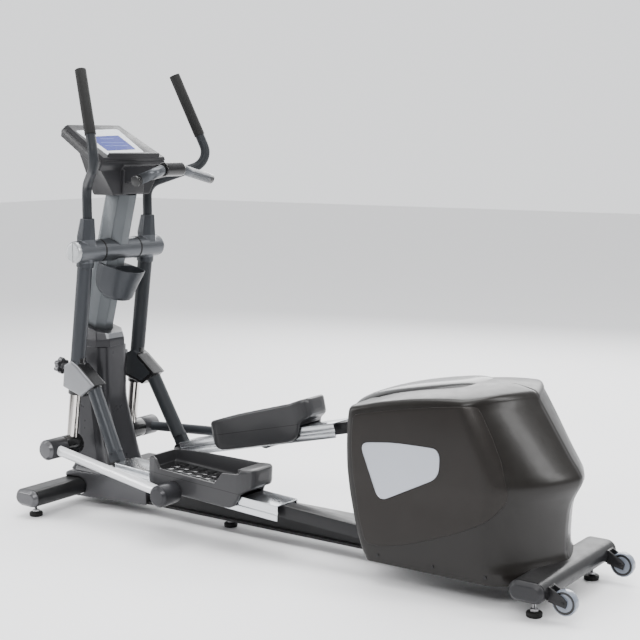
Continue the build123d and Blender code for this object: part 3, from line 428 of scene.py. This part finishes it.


# Both arms are alike; the darker finishes on the far arm's lower arm, bracket cover and link tube are painted
# shade.
for side, near in (("left", True), ("right", False)):
    hub = soften(side + "_swing_hub", "barrel_grey", 0.002, 5)
    paint(hub, "cap_white", lambda c, n: abs(c.y) > 0.2145)
    paint(hub, "arm_grey", lambda c, n: c.z > 1.0 or c.z < 0.917)
    arm = soften(side + "_lower_arm", "arm_grey" if near else "arm_dark", 0.002, 14)
    paint(arm, "mould_gloss", lambda c, n: 0.43 < c.z < 0.57 and abs(abs(c.y) - 0.157) < 0.03
          and not (c.z > 0.535 and c.x < -0.9) and (c.x < -0.878 or c.z > 0.43 + (c.x + 0.878) * 0.73))
    soften(side + "_bracket_cover", "bracket_silver" if near else "mould_dark", 0.0012, 26)
    soften(side + "_stride_knob", "cover_grey", 0.0015, 4)
    tube = rounded(side + "_stride_tube", 0.002, "chrome")
    paint(tube, "mould_gloss", lambda c, n: near_axis(c, HUB, HUB_REACH))
    link = rounded(side + "_link_tube", 0.003, "link_silver" if near else "arm_grey")
    tip = max(v.co.x for v in link.data.vertices)
    far = (tip - 0.037, min(v.co.z for v in link.data.vertices if v.co.x > tip - 0.05) + 0.037)
    paint(link, "shroud_grey", lambda c, n: near_axis(c, HUB, HUB_REACH) or near_axis(c, far, 0.0385))
    paint(link, "cover_grey", lambda c, n: near_axis(c, HUB, HUB_REACH) and abs(c.y) > 0.2805)
    rounded(side + "_rail_channel", 0.0012, "rail_satin")
    rounded(side + "_pedal_arm", 0.002, "beam_black")
    foam = rounded(side + "_foam_grip", 0.003, "foam_black")

# %% [markdown]
# Swept and lofted shapes start as a grid. Each row of the grid is laid on one outline of the shape, the
# seam is merged and the ends are filled. This gives clean quads that shade smoothly.


# %% A helper that lays a grid on outlines
def loft(name, outlines, fill=True):
    """One skin through a row of closed outlines with the same number of points."""
    rows, around = len(outlines), len(outlines[0])
    deselect_all()
    bpy.ops.mesh.primitive_grid_add(x_subdivisions=around, y_subdivisions=rows - 1, size=2)
    piece = bpy.context.object
    piece.name = name
    for vert in piece.data.vertices:
        column = round((vert.co.x + 1) / 2 * around) % around
        row = round((vert.co.y + 1) / 2 * (rows - 1))
        vert.co = outlines[row][column]
    bpy.ops.object.mode_set(mode="EDIT")
    bpy.ops.mesh.select_all(action="SELECT")
    bpy.ops.mesh.remove_doubles(threshold=0.00001)
    if fill:
        bpy.ops.mesh.fill_holes(sides=0)
    bpy.ops.mesh.select_all(action="SELECT")
    bpy.ops.mesh.normals_make_consistent(inside=False)
    bpy.ops.object.mode_set(mode="OBJECT")
    bpy.ops.object.shade_smooth_by_angle(angle=math.radians(35))
    return piece


def between(rows, key, column):
    """Smoothly reads one column of a table whose first column rises."""
    if key <= rows[0][0]:
        return rows[0][column]
    for index in range(len(rows) - 1):
        if key <= rows[index + 1][0]:
            low, high = rows[index], rows[index + 1]
            share = (key - low[0]) / (high[0] - low[0])
            before = rows[max(0, index - 1)]
            after = rows[min(len(rows) - 1, index + 2)]
            step = high[0] - low[0]
            slope_low = (high[column] - before[column]) / max(1e-6, high[0] - before[0]) * step
            slope_high = (after[column] - low[column]) / max(1e-6, after[0] - low[0]) * step
            s2, s3 = share * share, share ** 3
            return ((2 * s3 - 3 * s2 + 1) * low[column] + (s3 - 2 * s2 + share) * slope_low
                    + (3 * s2 - 2 * s3) * high[column] + (s3 - s2) * slope_high)
    return rows[-1][column]


# %% [markdown]
# The drive housing is the largest moulding. In plan it has flat sides and a tail like a boat's stern. Its
# waist is drawn in below the widest line, its foot flares out over the rear bar, and its roof is crowned.
# The wall rises from the foot, rolls over a soft shoulder and meets itself along the roof's middle.

# %% The housing's measured lines
WALLS = [
    # height, front, rear at the side, rear at the middle, half width
    (0.074, 0.368, 0.812, 0.950, 0.236), (0.104, 0.355, 0.814, 0.950, 0.240),
    (0.112, 0.352, 0.812, 0.947, 0.240), (0.128, 0.346, 0.804, 0.936, 0.240),
    (0.160, 0.335, 0.800, 0.933, 0.240), (0.230, 0.318, 0.802, 0.935, 0.239),
    (0.285, 0.306, 0.806, 0.943, 0.238), (0.325, 0.301, 0.813, 0.962, 0.239),
    (0.345, 0.299, 0.816, 0.973, 0.240), (0.370, 0.297, 0.812, 0.977, 0.240),
    (0.425, 0.296, 0.790, 0.940, 0.240), (0.505, 0.298, 0.760, 0.888, 0.238),
    (0.560, 0.306, 0.736, 0.853, 0.234), (0.650, 0.330, 0.690, 0.795, 0.224),
]
ROOF = [
    # distance along the machine, height at the sides, height at the middle
    (0.200, 0.533, 0.533), (0.310, 0.544, 0.552), (0.420, 0.569, 0.586), (0.560, 0.592, 0.614),
    (0.700, 0.602, 0.630), (0.790, 0.594, 0.622), (0.853, 0.556, 0.589), (0.953, 0.400, 0.422),
    (1.000, 0.330, 0.345),
]
SHOULDER = 0.018    # how far the roof's rounded edge reaches inwards
TURN = 0.035    # how far before the side's rear the tail starts to turn
CORNER = 0.026    # radius of the front corners in plan


def wall_point(height, share, sign):
    """A point on the wall: share 0 is the tail's middle, 0.4 the side's rear, 1 the front's middle."""
    front, side_rear, tail, half = (between(WALLS, height, column) for column in (1, 2, 3, 4))
    start = side_rear - TURN
    if share < 0.4:
        angle = share / 0.4 * math.pi / 2
        x = start + (tail - start) * math.cos(angle)
        y = half * math.sin(angle) ** 1.6
    elif share < 0.75:
        t = (share - 0.4) / 0.35
        x, y = start + (front + CORNER - start) * t, half
    elif share < 0.87:
        angle = (share - 0.75) / 0.12 * math.pi / 2
        x = front + CORNER - CORNER * math.sin(angle)
        y = half - CORNER + CORNER * math.cos(angle)
    else:
        x, y = front, (half - CORNER) * (1 - (share - 0.87) / 0.13)
    return Vector((x, y * sign, height))


def roof_height(x, y):
    low, high = between(ROOF, x, 1), between(ROOF, x, 2)
    return high + (low - high) * min(1, abs(y) / 0.24) ** 1.8


def wall_top(share, sign):
    height = 0.52
    for _ in range(12):
        point = wall_point(height, share, sign)
        height += (roof_height(point.x, point.y) - SHOULDER - height) * 0.6
    return height


# %% The housing's skin
AROUND = 46
stations = [(k / (AROUND - 1), 1) for k in range(AROUND)]
stations += [(k / (AROUND - 1), -1) for k in range(AROUND - 2, 0, -1)]
tops = [wall_top(share, sign) for share, sign in stations]
foot = WALLS[0][0]
levels = [0, 0.05, 0.075, 0.1, 0.14, 0.2, 0.28, 0.36, 0.42, 0.47, 0.51, 0.545, 0.58, 0.62, 0.68, 0.75,
          0.83, 0.91, 0.96, 1.0]
outlines = []
for level in levels:
    outlines.append([wall_point(foot + (top - foot) * level, share, sign)
                     for (share, sign), top in zip(stations, tops)])
edge = outlines[-1]
spine = [Vector((min(0.74, max(0.36, point.x)), 0, 0)) for point in edge]
for step in range(1, 7):
    angle = step / 6 * math.pi / 2
    ring = []
    for point, middle in zip(edge, spine):
        inward = (middle - Vector((point.x, point.y, 0))).normalized() * SHOULDER * (1 - math.cos(angle))
        x, y = point.x + inward.x, point.y + inward.y
        lift = point.z + (roof_height(x, y) - point.z) * math.sin(angle)
        ring.append(Vector((x, y, lift)))
    outlines.append(ring)
shoulder_ring = outlines[-1]
for step in range(1, 9):
    t = step / 8
    ring = []
    for point, middle in zip(shoulder_ring, spine):
        x, y = point.x + (middle.x - point.x) * t, point.y * (1 - t)
        ring.append(Vector((x, y, roof_height(x, y))))
    outlines.append(ring)
housing = loft("housing_shell", outlines, fill=False)
print("housing skin", len(housing.data.vertices), "points")

# %% [markdown]
# The two halves meet along a fine seam over the tail and the roof. Two cuts a millimetre and a half apart
# leave a strip there, and pushing that strip inwards makes the groove.


# %% The seam between the halves
def cut_plane(piece, place, normal):
    """Cuts a line of edges round a piece without removing anything."""
    pick(piece)
    bpy.ops.object.mode_set(mode="EDIT")
    bpy.ops.mesh.select_all(action="SELECT")
    bpy.ops.mesh.bisect(plane_co=place, plane_no=normal)
    bpy.ops.object.mode_set(mode="OBJECT")


def sink_faces(piece, wanted, depth):
    """Pushes the chosen faces along their normals."""
    pick(piece)
    for item in (piece.data.vertices, piece.data.edges, piece.data.polygons):
        for element in item:
            element.select = False
    for face in piece.data.polygons:
        face.select = wanted(face.center)
    bpy.ops.object.mode_set(mode="EDIT")
    bpy.ops.mesh.select_mode(type="FACE")
    bpy.ops.transform.shrink_fatten(value=depth)
    bpy.ops.object.mode_set(mode="OBJECT")


SEAM_HALF = 0.0008
for place in (SEAM_HALF, -SEAM_HALF):
    cut_plane(housing, (0, place, 0), (0, 1, 0))
sink_faces(housing, lambda c: abs(c.y) < SEAM_HALF and c.x > 0.5, -0.0014)

# %% [markdown]
# The shell is open below and has one upright slot in its front for each rail. It gets its wall thickness
# first. The slots are then cut with a plain block, as a tool cuts a moulding.


# %% Wall thickness and rail slots
put_on(housing, "SOLIDIFY", thickness=0.0035, offset=-1)


def cut_with(piece, cutter):
    """Takes one piece's shape out of another, and deletes the cutter."""
    put_on(piece, "BOOLEAN", operation="DIFFERENCE", object=cutter, solver="EXACT")
    bpy.data.objects.remove(cutter, do_unlink=True)


def cut_block(piece, low, high):
    """Removes an upright block from a piece."""
    middle = [(a + b) / 2 for a, b in zip(low, high)]
    deselect_all()
    bpy.ops.mesh.primitive_cube_add(size=1, location=middle, scale=[b - a for a, b in zip(low, high)])
    cut_with(piece, bpy.context.object)


for sign in (1, -1):
    sides = sorted((0.140 * sign, 0.211 * sign))
    cut_block(housing, (0.27, sides[0], 0.088), (0.40, sides[1], 0.528))
cut_block(housing, (0.876, -0.3, 0.0), (1.1, 0.3, 0.1))
cut_block(housing, (0.2, -0.058, 0.0), (0.46, 0.058, 0.121))
pick(housing)
bpy.ops.object.shade_smooth_by_angle(angle=math.radians(40))
wear(housing, "shell_black")
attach(housing, "frame")
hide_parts("housing_left", "housing_right")

# %% [markdown]
# Each side carries a raised panel in flake grey. It is bounded above by the roof's shoulder, behind by the
# turn of the tail, and below by one long curve that sweeps up towards the rear. A grid is laid between
# those four lines, dropped on the wall, and given its thickness and a rounded rim.

# %% The panel's four lines
PANEL_FOOT = [(0.386, 0.130), (0.430, 0.128), (0.486, 0.140), (0.556, 0.160), (0.652, 0.197), (0.705, 0.219),
              (0.757, 0.244), (0.790, 0.264), (0.814, 0.287), (0.838, 0.318), (0.846, 0.340)]
PANEL_REAR = [(0.846, 0.340), (0.845, 0.360), (0.821, 0.435), (0.788, 0.506), (0.752, 0.570), (0.740, 0.586)]
PANEL_TOP = [(0.338, 0.524), (0.360, 0.531), (0.483, 0.556), (0.606, 0.577), (0.690, 0.588), (0.722, 0.590),
             (0.740, 0.586)]
PANEL_FRONT = [(0.386, 0.130), (0.374, 0.142), (0.352, 0.214), (0.332, 0.336), (0.326, 0.410), (0.326, 0.472),
               (0.330, 0.514), (0.338, 0.524)]


def along(line, share):
    """The point a share of the way along a bent line, by its length."""
    lengths = [math.dist(a, b) for a, b in zip(line, line[1:])]
    goal = share * sum(lengths)
    for (a, b), length in zip(zip(line, line[1:]), lengths):
        if goal <= length or b is line[-1]:
            t = min(1, goal / length)
            return Vector((a[0] + (b[0] - a[0]) * t, a[1] + (b[1] - a[1]) * t))
        goal -= length


def wall_depth(x, height):
    """How far the housing's wall is from the middle plane at a place on its side."""
    side_rear, tail, half = (between(WALLS, height, column) for column in (2, 3, 4))
    start = side_rear - TURN
    if x <= start:
        return half
    return half * (1 - min(1, (x - start) / (tail - start)) ** 2) ** 0.8


def side_panel(name, sign):
    across, up = 48, 30
    deselect_all()
    bpy.ops.mesh.primitive_grid_add(x_subdivisions=across, y_subdivisions=up, size=2)
    piece = bpy.context.object
    piece.name = name
    for vert in piece.data.vertices:
        u, v = (vert.co.x + 1) / 2, (vert.co.y + 1) / 2
        low, high = along(PANEL_FOOT, u), along(PANEL_TOP, u)
        front, rear = along(PANEL_FRONT, v), along(PANEL_REAR, v)
        corners = (Vector(PANEL_FOOT[0]) * (1 - u) * (1 - v) + Vector(PANEL_FOOT[-1]) * u * (1 - v)
                   + Vector(PANEL_TOP[0]) * (1 - u) * v + Vector(PANEL_TOP[-1]) * u * v)
        place = low * (1 - v) + high * v + front * (1 - u) + rear * u - corners
        vert.co = (place.x, (wall_depth(place.x, place.y) - 0.001) * sign, place.y)
    if sign < 0:
        piece.data.flip_normals()
    piece.data.flip_normals()
    put_on(piece, "SOLIDIFY", thickness=0.0042, offset=1)
    put_on(piece, "BEVEL", width=0.0028, segments=4, limit_method="ANGLE", angle_limit=math.radians(50))
    pick(piece)
    bpy.ops.object.shade_smooth_by_angle(angle=math.radians(40))
    wear(piece, "panel_grey")
    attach(piece, "frame")


for side, sign in (("left", -1), ("right", 1)):
    side_panel("side_panel_" + side, sign)

# %% [markdown]
# A silver shield sits on each panel. It is a shallow pressed plate, so its outline is laid at three depths
# with a small lip, and its middle is left flat.

# %% The silver shields
SHIELD = [(0.357, 0.442), (0.470, 0.456), (0.638, 0.458), (0.634, 0.370), (0.428, 0.268)]


def round_corners(points, radius, steps=6):
    """The same outline with each corner replaced by a short curve."""
    result = []
    count = len(points)
    for index in range(count):
        before, here, after = (Vector(points[(index + k) % count]) for k in (-1, 0, 1))
        start = here + (before - here).normalized() * min(radius, (before - here).length * 0.45)
        end = here + (after - here).normalized() * min(radius, (after - here).length * 0.45)
        for step in range(steps + 1):
            t = step / steps
            result.append(start * (1 - t) ** 2 + here * 2 * t * (1 - t) + end * t ** 2)
    return result


def shrink(points, amount):
    """The same outline drawn in towards its middle."""
    middle = sum(points, Vector((0, 0))) / len(points)
    return [point + (middle - point).normalized() * amount for point in points]


def shield(name, sign):
    outline = round_corners(SHIELD, 0.034)
    outlines = []
    for inset, depth in ((0, 0.2412), (0, 0.2444), (0.0008, 0.2452), (0.0030, 0.2452), (0.0038, 0.2446)):
        outlines.append([Vector((p.x, depth * sign, p.y)) for p in shrink(outline, inset)])
    piece = loft(name, outlines)
    wear(piece, "badge_silver")
    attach(piece, "frame")
    return piece


shields = [shield("shield_" + side, sign) for side, sign in (("left", -1), ("right", 1))]
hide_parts("side_badges")

# %% [markdown]
# The black lid lies on the roof like a bonnet. It is a row of arches along the machine: low and narrow at
# the nose, widest in the middle, and falling away behind.

# %% The lid
LID = [
    # distance along, half width, bottom, top
    (0.201, 0.020, 0.470, 0.492), (0.206, 0.055, 0.462, 0.506), (0.222, 0.082, 0.458, 0.526),
    (0.250, 0.100, 0.462, 0.545), (0.300, 0.113, 0.480, 0.567), (0.360, 0.119, 0.515, 0.586),
    (0.430, 0.121, 0.545, 0.603), (0.510, 0.120, 0.565, 0.618), (0.580, 0.115, 0.580, 0.629),
    (0.620, 0.106, 0.588, 0.632), (0.645, 0.094, 0.592, 0.629), (0.664, 0.075, 0.594, 0.621),
    (0.674, 0.050, 0.596, 0.612),
]


def arch(x, half, low, high, points=36):
    ring = []
    for k in range(points):
        angle = 2 * math.pi * k / points
        c, s = math.cos(angle), math.sin(angle)
        y = half * math.copysign(abs(c) ** 0.55, c)
        z = low + (high - low) * abs(s) ** 0.6 if s > 0 else low
        ring.append(Vector((x, y, z)))
    return ring


lid = loft("housing_lid", [arch(*row) for row in LID])
put_on(lid, "SUBSURF", levels=1, render_levels=1)
wear(lid, "lid_black")
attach(lid, "frame")
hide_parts("housing_top")

# %% [markdown]
# Each pedal is a deep two-part shell that sits astride its rail. Its ends are rounded in plan, its lower
# corners are rounded in profile, and its heel reaches back over the rail as a thick lip. The sections
# below run from toe to heel. The well, the rail's tunnel and the low outer edge are then cut away, and the
# whole is softened like a moulding. It is laid out level and turned to the rail's slope at the end.

# %% Pedal sections
PEDAL = [
    # distance from the toe, bottom, top, half width
    (0.000, 0.030, 0.066, 0.044), (0.003, 0.012, 0.080, 0.056), (0.010, -0.002, 0.088, 0.064),
    (0.022, -0.013, 0.091, 0.070), (0.040, -0.020, 0.093, 0.074), (0.070, -0.022, 0.096, 0.075),
    (0.150, -0.022, 0.103, 0.075), (0.250, -0.022, 0.108, 0.075), (0.340, -0.022, 0.112, 0.075),
    (0.368, -0.019, 0.113, 0.075), (0.388, -0.008, 0.114, 0.075), (0.400, 0.012, 0.116, 0.075),
    (0.408, 0.034, 0.117, 0.074), (0.420, 0.044, 0.119, 0.072), (0.434, 0.050, 0.121, 0.067),
    (0.446, 0.056, 0.121, 0.058), (0.453, 0.066, 0.117, 0.044), (0.455, 0.080, 0.106, 0.028),
]
TOE = 0.132    # from the toe to the pedal's station on the rail
MIDDLE = 0.175    # from the machine's middle plane to the pedal's
RAIL_START = (-0.708, 0.203)


def rounded_box_ring(u, low, high, half, radius=0.012):
    """An upright rounded rectangle across the pedal."""
    radius = min(radius, (high - low) * 0.45, half * 0.6)
    ring = []
    for cx, cz, first in ((half - radius, high - radius, 0), (radius - half, high - radius, 90),
                          (radius - half, low + radius, 180), (half - radius, low + radius, 270)):
        for step in range(7):
            angle = math.radians(first + step * 15)
            ring.append(Vector((u, MIDDLE + cx + radius * math.cos(angle), cz + radius * math.sin(angle))))
    return ring


def prism(name, outline, low, high):
    """A flat outline in the XZ plane, drawn out along Y."""
    return loft(name, [[Vector((x, y, z)) for x, z in outline] for y in (low, high)])


def pedal(side, sign, station, pitch):
    start = station - TOE
    shell = loft(side + "_pedal_shell", [rounded_box_ring(start + u, low, high, half)
                                         for u, low, high, half in PEDAL])
    end = start + PEDAL[-1][0]
    well = [rounded_box_ring(start + u, 0.048, 0.2, half - 0.011, 0.01)
            for u, low, high, half in PEDAL if 0.022 <= u <= 0.388]
    cut_with(shell, loft("well", well))
    tunnel = [(start - 0.02, -0.04), (end + 0.02, -0.04), (end + 0.02, 0.031), (start - 0.02, 0.031)]
    cut_with(shell, prism("tunnel", tunnel, MIDDLE - 0.059, MIDDLE + 0.059))
    low_edge = [(start - 0.02, 0.2), (start + 0.020, 0.096), (start + 0.046, 0.084), (start + 0.064, 0.055),
                (start + 0.305, 0.053), (start + 0.335, 0.094), (start + 0.405, 0.103), (start + 0.43, 0.2)]
    cut_with(shell, prism("low_edge", low_edge, 0.2315, 0.3))
    put_on(shell, "REMESH", mode="VOXEL", voxel_size=0.002)
    put_on(shell, "SMOOTH", factor=0.5, iterations=5)
    tilt(shell, pitch, sign)
    shell.data.materials.clear()
    normal = (-math.sin(pitch), 0, math.cos(pitch))
    height = normal[0] * RAIL_START[0] + normal[2] * RAIL_START[1] + 0.038
    # The pedal's finish carries a thin dark line where its two shells meet: painted shade of the gap between
    # them.
    FINISH[side + "_pedal"] = finish(side + "_pedal_grey", (0.03, 0.03, 0.032), 0.36, coat=0.15, uneven=0.05,
                                     grain=0.12, grain_scale=650, dust=0.04, seam=(normal, height))
    stand_for(shell, side + "_pedal_base", side + "_pedal")
    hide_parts(side + "_pedal_tray")
    bed = [rounded_box_ring(start + u, 0.0475, 0.0495, half - 0.0135, 0.0009)
           for u, low, high, half in PEDAL if 0.022 <= u <= 0.388]
    mat = loft(side + "_footbed", bed)
    for row in range(7):
        for column in (-1, 0, 1):
            deselect_all()
            place = (start + 0.075 + row * 0.042, MIDDLE + column * 0.037, 0.0503)
            bpy.ops.mesh.primitive_cube_add(size=1, location=place, scale=(0.032, 0.026, 0.0024))
            pad = bpy.context.object
            put_on(pad, "BEVEL", width=0.0009, segments=2)
            mat.select_set(True)
            bpy.context.view_layer.objects.active = mat
            bpy.ops.object.join()
    tilt(mat, pitch, sign)
    wear(mat, "mould_gloss")
    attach(mat, side + "_pedal")


def tilt(piece, pitch, sign):
    """Lays a level piece on the sloping rail of one side."""
    c, s = math.cos(pitch), math.sin(pitch)
    for vert in piece.data.vertices:
        u, y, w = vert.co
        vert.co = (RAIL_START[0] + u * c - w * s, y * sign, RAIL_START[1] + u * s + w * c)
    pick(piece)
    bpy.ops.object.mode_set(mode="EDIT")
    bpy.ops.mesh.select_all(action="SELECT")
    bpy.ops.mesh.normals_make_consistent(inside=False)
    bpy.ops.object.mode_set(mode="OBJECT")
    bpy.ops.object.shade_smooth_by_angle(angle=math.radians(45))


# %% Both pedals
pedal("left", -1, 0.3193, math.radians(-3.264))
pedal("right", 1, 0.3278, math.radians(12.939))

# %% [markdown]
# The cup holder is one bowl that grows out of a saddle on the mast. Its outlines lean back with the mast
# and widen upwards. The column and the cup's well are cut out of it.

# %% Cup holder
CUP = [
    # height at the cup's middle, front, rear, half width
    (0.760, -0.950, -0.838, 0.034), (0.764, -0.956, -0.824, 0.041), (0.775, -0.962, -0.812, 0.0455),
    (0.800, -0.966, -0.800, 0.049), (0.830, -0.960, -0.784, 0.052), (0.860, -0.950, -0.766, 0.0545),
    (0.885, -0.940, -0.752, 0.0560),
]


def bowl_ring(height, front, rear, half, rear_power=0.6, points=48):
    ring = []
    for k in range(points):
        angle = 2 * math.pi * k / points
        c, s = math.cos(angle), math.sin(angle)
        power = rear_power if c > 0 else 0.5
        x = (front + rear) / 2 + (rear - front) / 2 * math.copysign(abs(c) ** power, c)
        y = half * math.copysign(abs(s) ** 0.9, s)
        ring.append(Vector((x, y, height - (x + 0.80) * 0.21)))
    return ring


bowl = loft("cup_bowl", [bowl_ring(*row) for row in CUP])
well = [bowl_ring(0.775, -0.885, -0.822, 0.034, 1), bowl_ring(0.885, -0.852, -0.758, 0.050, 1),
        bowl_ring(0.950, -0.842, -0.745, 0.053, 1)]
cut_with(bowl, loft("well", well))
column = copy_of("mast_column", "column_cutter")
pick(column)
bpy.ops.object.mode_set(mode="EDIT")
bpy.ops.mesh.select_all(action="SELECT")
bpy.ops.mesh.convex_hull()
bpy.ops.object.mode_set(mode="OBJECT")
cut_with(bowl, column)
put_on(bowl, "REMESH", mode="VOXEL", voxel_size=0.0015)
put_on(bowl, "SMOOTH", factor=0.5, iterations=4)
pick(bowl)
bpy.ops.object.shade_smooth()
stand_for(bowl, "cup_holder", "arm_grey")

# %% The console's root, where the bowl closes over the top of the mast
deselect_all()
bpy.ops.mesh.primitive_cube_add(size=1, location=(-0.802, 0, 1.203), scale=(0.062, 0.110, 0.090))
root = bpy.context.object
root.name = "console_root"
bpy.ops.object.transform_apply(location=True, rotation=True, scale=True)
for vert in root.data.vertices:
    if vert.co.z < 1.2 and vert.co.x > -0.8:
        vert.co.x -= 0.010
put_on(root, "BEVEL", width=0.006, segments=4)
pick(root)
bpy.ops.object.shade_smooth_by_angle(angle=math.radians(40))
wear(root, "mould_dark")
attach(root, "frame")

# %% [markdown]
# The shroud rises from a flared skirt. A shallow hollow flute runs up the rear half of each side and fades
# out below the shoulder.

# %% Shroud
SHROUD = [
    # height, front, rear, half width, corner
    (0.1275, -1.060, -0.772, 0.091, 0.040), (0.135, -1.056, -0.790, 0.087, 0.040),
    (0.148, -1.050, -0.806, 0.083, 0.038), (0.168, -1.044, -0.818, 0.080, 0.036),
    (0.200, -1.041, -0.828, 0.077, 0.036), (0.280, -1.040, -0.850, 0.073, 0.034),
    (0.390, -1.041, -0.879, 0.069, 0.032), (0.470, -1.041, -0.883, 0.069, 0.032),
    (0.540, -1.040, -0.883, 0.070, 0.033), (0.596, -1.039, -0.882, 0.070, 0.033),
]


def flute(share, height):
    """How deep the wall is drawn in at a place along the side, from front 0 to rear 1."""
    fade = max(0, min(1, (0.50 - height) / 0.07)) * max(0, min(1, (height - 0.13) / 0.05))
    start, stop, deepest = 0.60, 0.94, 0.007
    if not start < share < stop:
        return 0
    return deepest * math.sin(math.pi * (share - start) / (stop - start)) ** 0.7 * fade


def shroud_ring(height, front, rear, half, corner):
    right = []
    count = 34
    for k in range(count + 1):
        share = k / count
        x = front + corner + (rear - front - 2 * corner) * share
        right.append((x, half - flute(share, height)))
    turns = [math.radians(degrees) for degrees in range(15, 91, 15)]
    rear_turn = [(rear - corner + corner * math.sin(a), half - corner + corner * math.cos(a)) for a in turns]
    front_turn = [(front + corner - corner * math.sin(a), half - corner + corner * math.cos(a))
                  for a in reversed(turns)]
    half_ring = front_turn + right + rear_turn
    points = half_ring + [(x, -y) for x, y in reversed(half_ring)]
    return [Vector((x, y, height)) for x, y in points]


low, high = SHROUD[0][0], SHROUD[-1][0]
levels = [low + (high - low) * (k / 40) ** 1.15 for k in range(41)]
shroud = loft("shroud_skin", [shroud_ring(h, *(between(SHROUD, h, c) for c in (1, 2, 3, 4))) for h in levels],
              fill=False)
put_on(shroud, "SOLIDIFY", thickness=0.003, offset=-1)
pick(shroud)
bpy.ops.object.shade_smooth_by_angle(angle=math.radians(50))
stand_for(shroud, "mast_shroud", "shroud_grey")

# %% [markdown]
# Round parts are turned: a profile of radius and place along the axis is spun into rings. The wheels have
# a black hub with a raised boss and a clear ribbed tyre. The feet have a thick rubber pad, a bright nut and
# a threaded stud.


# %% A helper that turns round parts
def turn(name, profile, centre, axis="Y", segments=56, ribs=0.0):
    """Rings round an axis through centre. profile holds (place along the axis, radius)."""
    outlines = []
    for place, radius in profile:
        ring = []
        for k in range(segments):
            angle = 2 * math.pi * k / segments
            r = radius * (1 - (ribs if k % 4 < 2 and radius > 0.034 else 0))
            a, b = r * math.cos(angle), r * math.sin(angle)
            ring.append(Vector((centre[0] + a, place, centre[2] + b)) if axis == "Y"
                        else Vector((centre[0] + a, centre[1] + b, place)))
        outlines.append(ring)
    return loft(name, outlines)


# %% Wheels
for side, sign in (("left", -1), ("right", 1)):
    centre = (1.028, 0, 0.064)
    tyre = [(0.195, 0.0325), (0.195, 0.0352), (0.197, 0.0372), (0.202, 0.038), (0.212, 0.038),
            (0.217, 0.0372), (0.219, 0.0352), (0.219, 0.0325)]
    ring = turn(side + "_tyre", [(y * sign, r) for y, r in tyre], centre, ribs=0.012)
    stand_for(ring, side + "_wheel", "tyre_clear")
    hub = [(0.1952, 0.004), (0.1952, 0.012), (0.1968, 0.013), (0.1968, 0.024), (0.1945, 0.0265),
           (0.1945, 0.0328), (0.2195, 0.0328), (0.2195, 0.0265), (0.2172, 0.024), (0.2172, 0.013),
           (0.2188, 0.012), (0.2188, 0.004)]
    disc = turn(side + "_wheel_hub", [(y * sign, r) for y, r in hub], centre)
    wear(disc, "mould_gloss")
    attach(disc, side + "_wheel")

# %% Feet
PLACES = [(-1.010, -0.3, 0.043), (-1.010, 0.3, 0.043), (0.929, -0.2, 0.057), (0.929, 0.2, 0.057),
          (-0.345, 0, 0.038)]
for number, (x, y, top) in enumerate(PLACES):
    pad = turn("foot_pad_%d" % number, [(0.0, 0.0215), (0.0015, 0.0235), (0.011, 0.024), (0.0145, 0.0225),
                                        (0.016, 0.019), (0.0165, 0.010)], (x, y, 0), "Z")
    wear(pad, "rubber")
    nut = turn("foot_nut_%d" % number, [(0.016, 0.0118), (0.0165, 0.0128), (0.0235, 0.0128), (0.024, 0.0118)],
               (x, y, 0), "Z", segments=6)
    wear(nut, "steel")
    thread = [(0.018 + k * 0.001, 0.005 if k % 2 else 0.0044) for k in range(int((top - 0.018) / 0.001))]
    stud = turn("foot_stud_%d" % number, thread, (x, y, 0), "Z", segments=20)
    wear(stud, "steel")
    for piece in (pad, nut, stud):
        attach(piece, "frame")
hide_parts("levelling_feet")

# %% Dark rings of painted shade where the swinging barrels meet the fixed one, over the gap between them
for side, sign in (("left", -1), ("right", 1)):
    ring = turn(side + "_barrel_gap_shade", [(y * sign, r) for y, r in ((0.0885, 0.0395), (0.0885, 0.0408),
                                                                 (0.0945, 0.0408), (0.0945, 0.0395))],
                (-0.869, 0, 0.958))
    # The dark rubber finish stands for the painted shade of the gap.
    wear(ring, "rubber")
    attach(ring, "frame")
    # A thin dark strip along each end cap's seam: painted shade of the gap there.
    seam = prism(side + "_cap_seam_shade", [(-0.8698, 0.921), (-0.8682, 0.921), (-0.8682, 0.995), (-0.8698, 0.995)],
                 *sorted((0.2225 * sign, 0.2234 * sign)))
    wear(seam, "rubber")
    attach(seam, side + "_arm")

# %% [markdown]
# The console's face is a stack of thin printed layers on the sloping plate: a pale overlay with rounded
# corners, and the blue display let into it.

# %% Console layers
SLOPE = math.radians(30)


def on_console(u, v, h):
    """A place on the console's plane: u towards the user, v to the right, h above the plate."""
    return Vector((-0.880 + u * math.cos(SLOPE) + h * math.sin(SLOPE), v,
                   1.338 - u * math.sin(SLOPE) + h * math.cos(SLOPE)))


def layer(name, corners, low, high, radius, look):
    outline = round_corners([(u / 1000, v / 1000) for u, v in corners], radius)
    outlines = []
    for inset, height in ((0, low), (0, high - 0.0006), (0.0006, high)):
        outlines.append([on_console(p.x, p.y, height) for p in shrink(outline, inset)])
    piece = loft(name, outlines)
    wear(piece, look)
    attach(piece, "frame")
    return piece


layer("console_overlay", [(-72, -129), (-85, 97), (85, 82), (102, -122)], 0.0095, 0.0132, 0.012,
      "overlay_white")
display = layer("console_display", [(-27, -103), (-37, 56), (63, 57), (71, -97)], 0.0125, 0.0140, 0.004,
                "display_blue")
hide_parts("lcd_window")
for number, (u, low_v, high_v) in enumerate(((-14, -60, 10), (14, -80, 36), (36, -80, 36))):
    layer("display_row_%d" % number, [(u, low_v), (u, high_v), (u + 6, high_v), (u + 6, low_v)], 0.0137,
          0.0143, 0.001, "display_ink")

# %% [markdown]
# The last cell measures the finished model's box.

# %% Sizes
low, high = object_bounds()
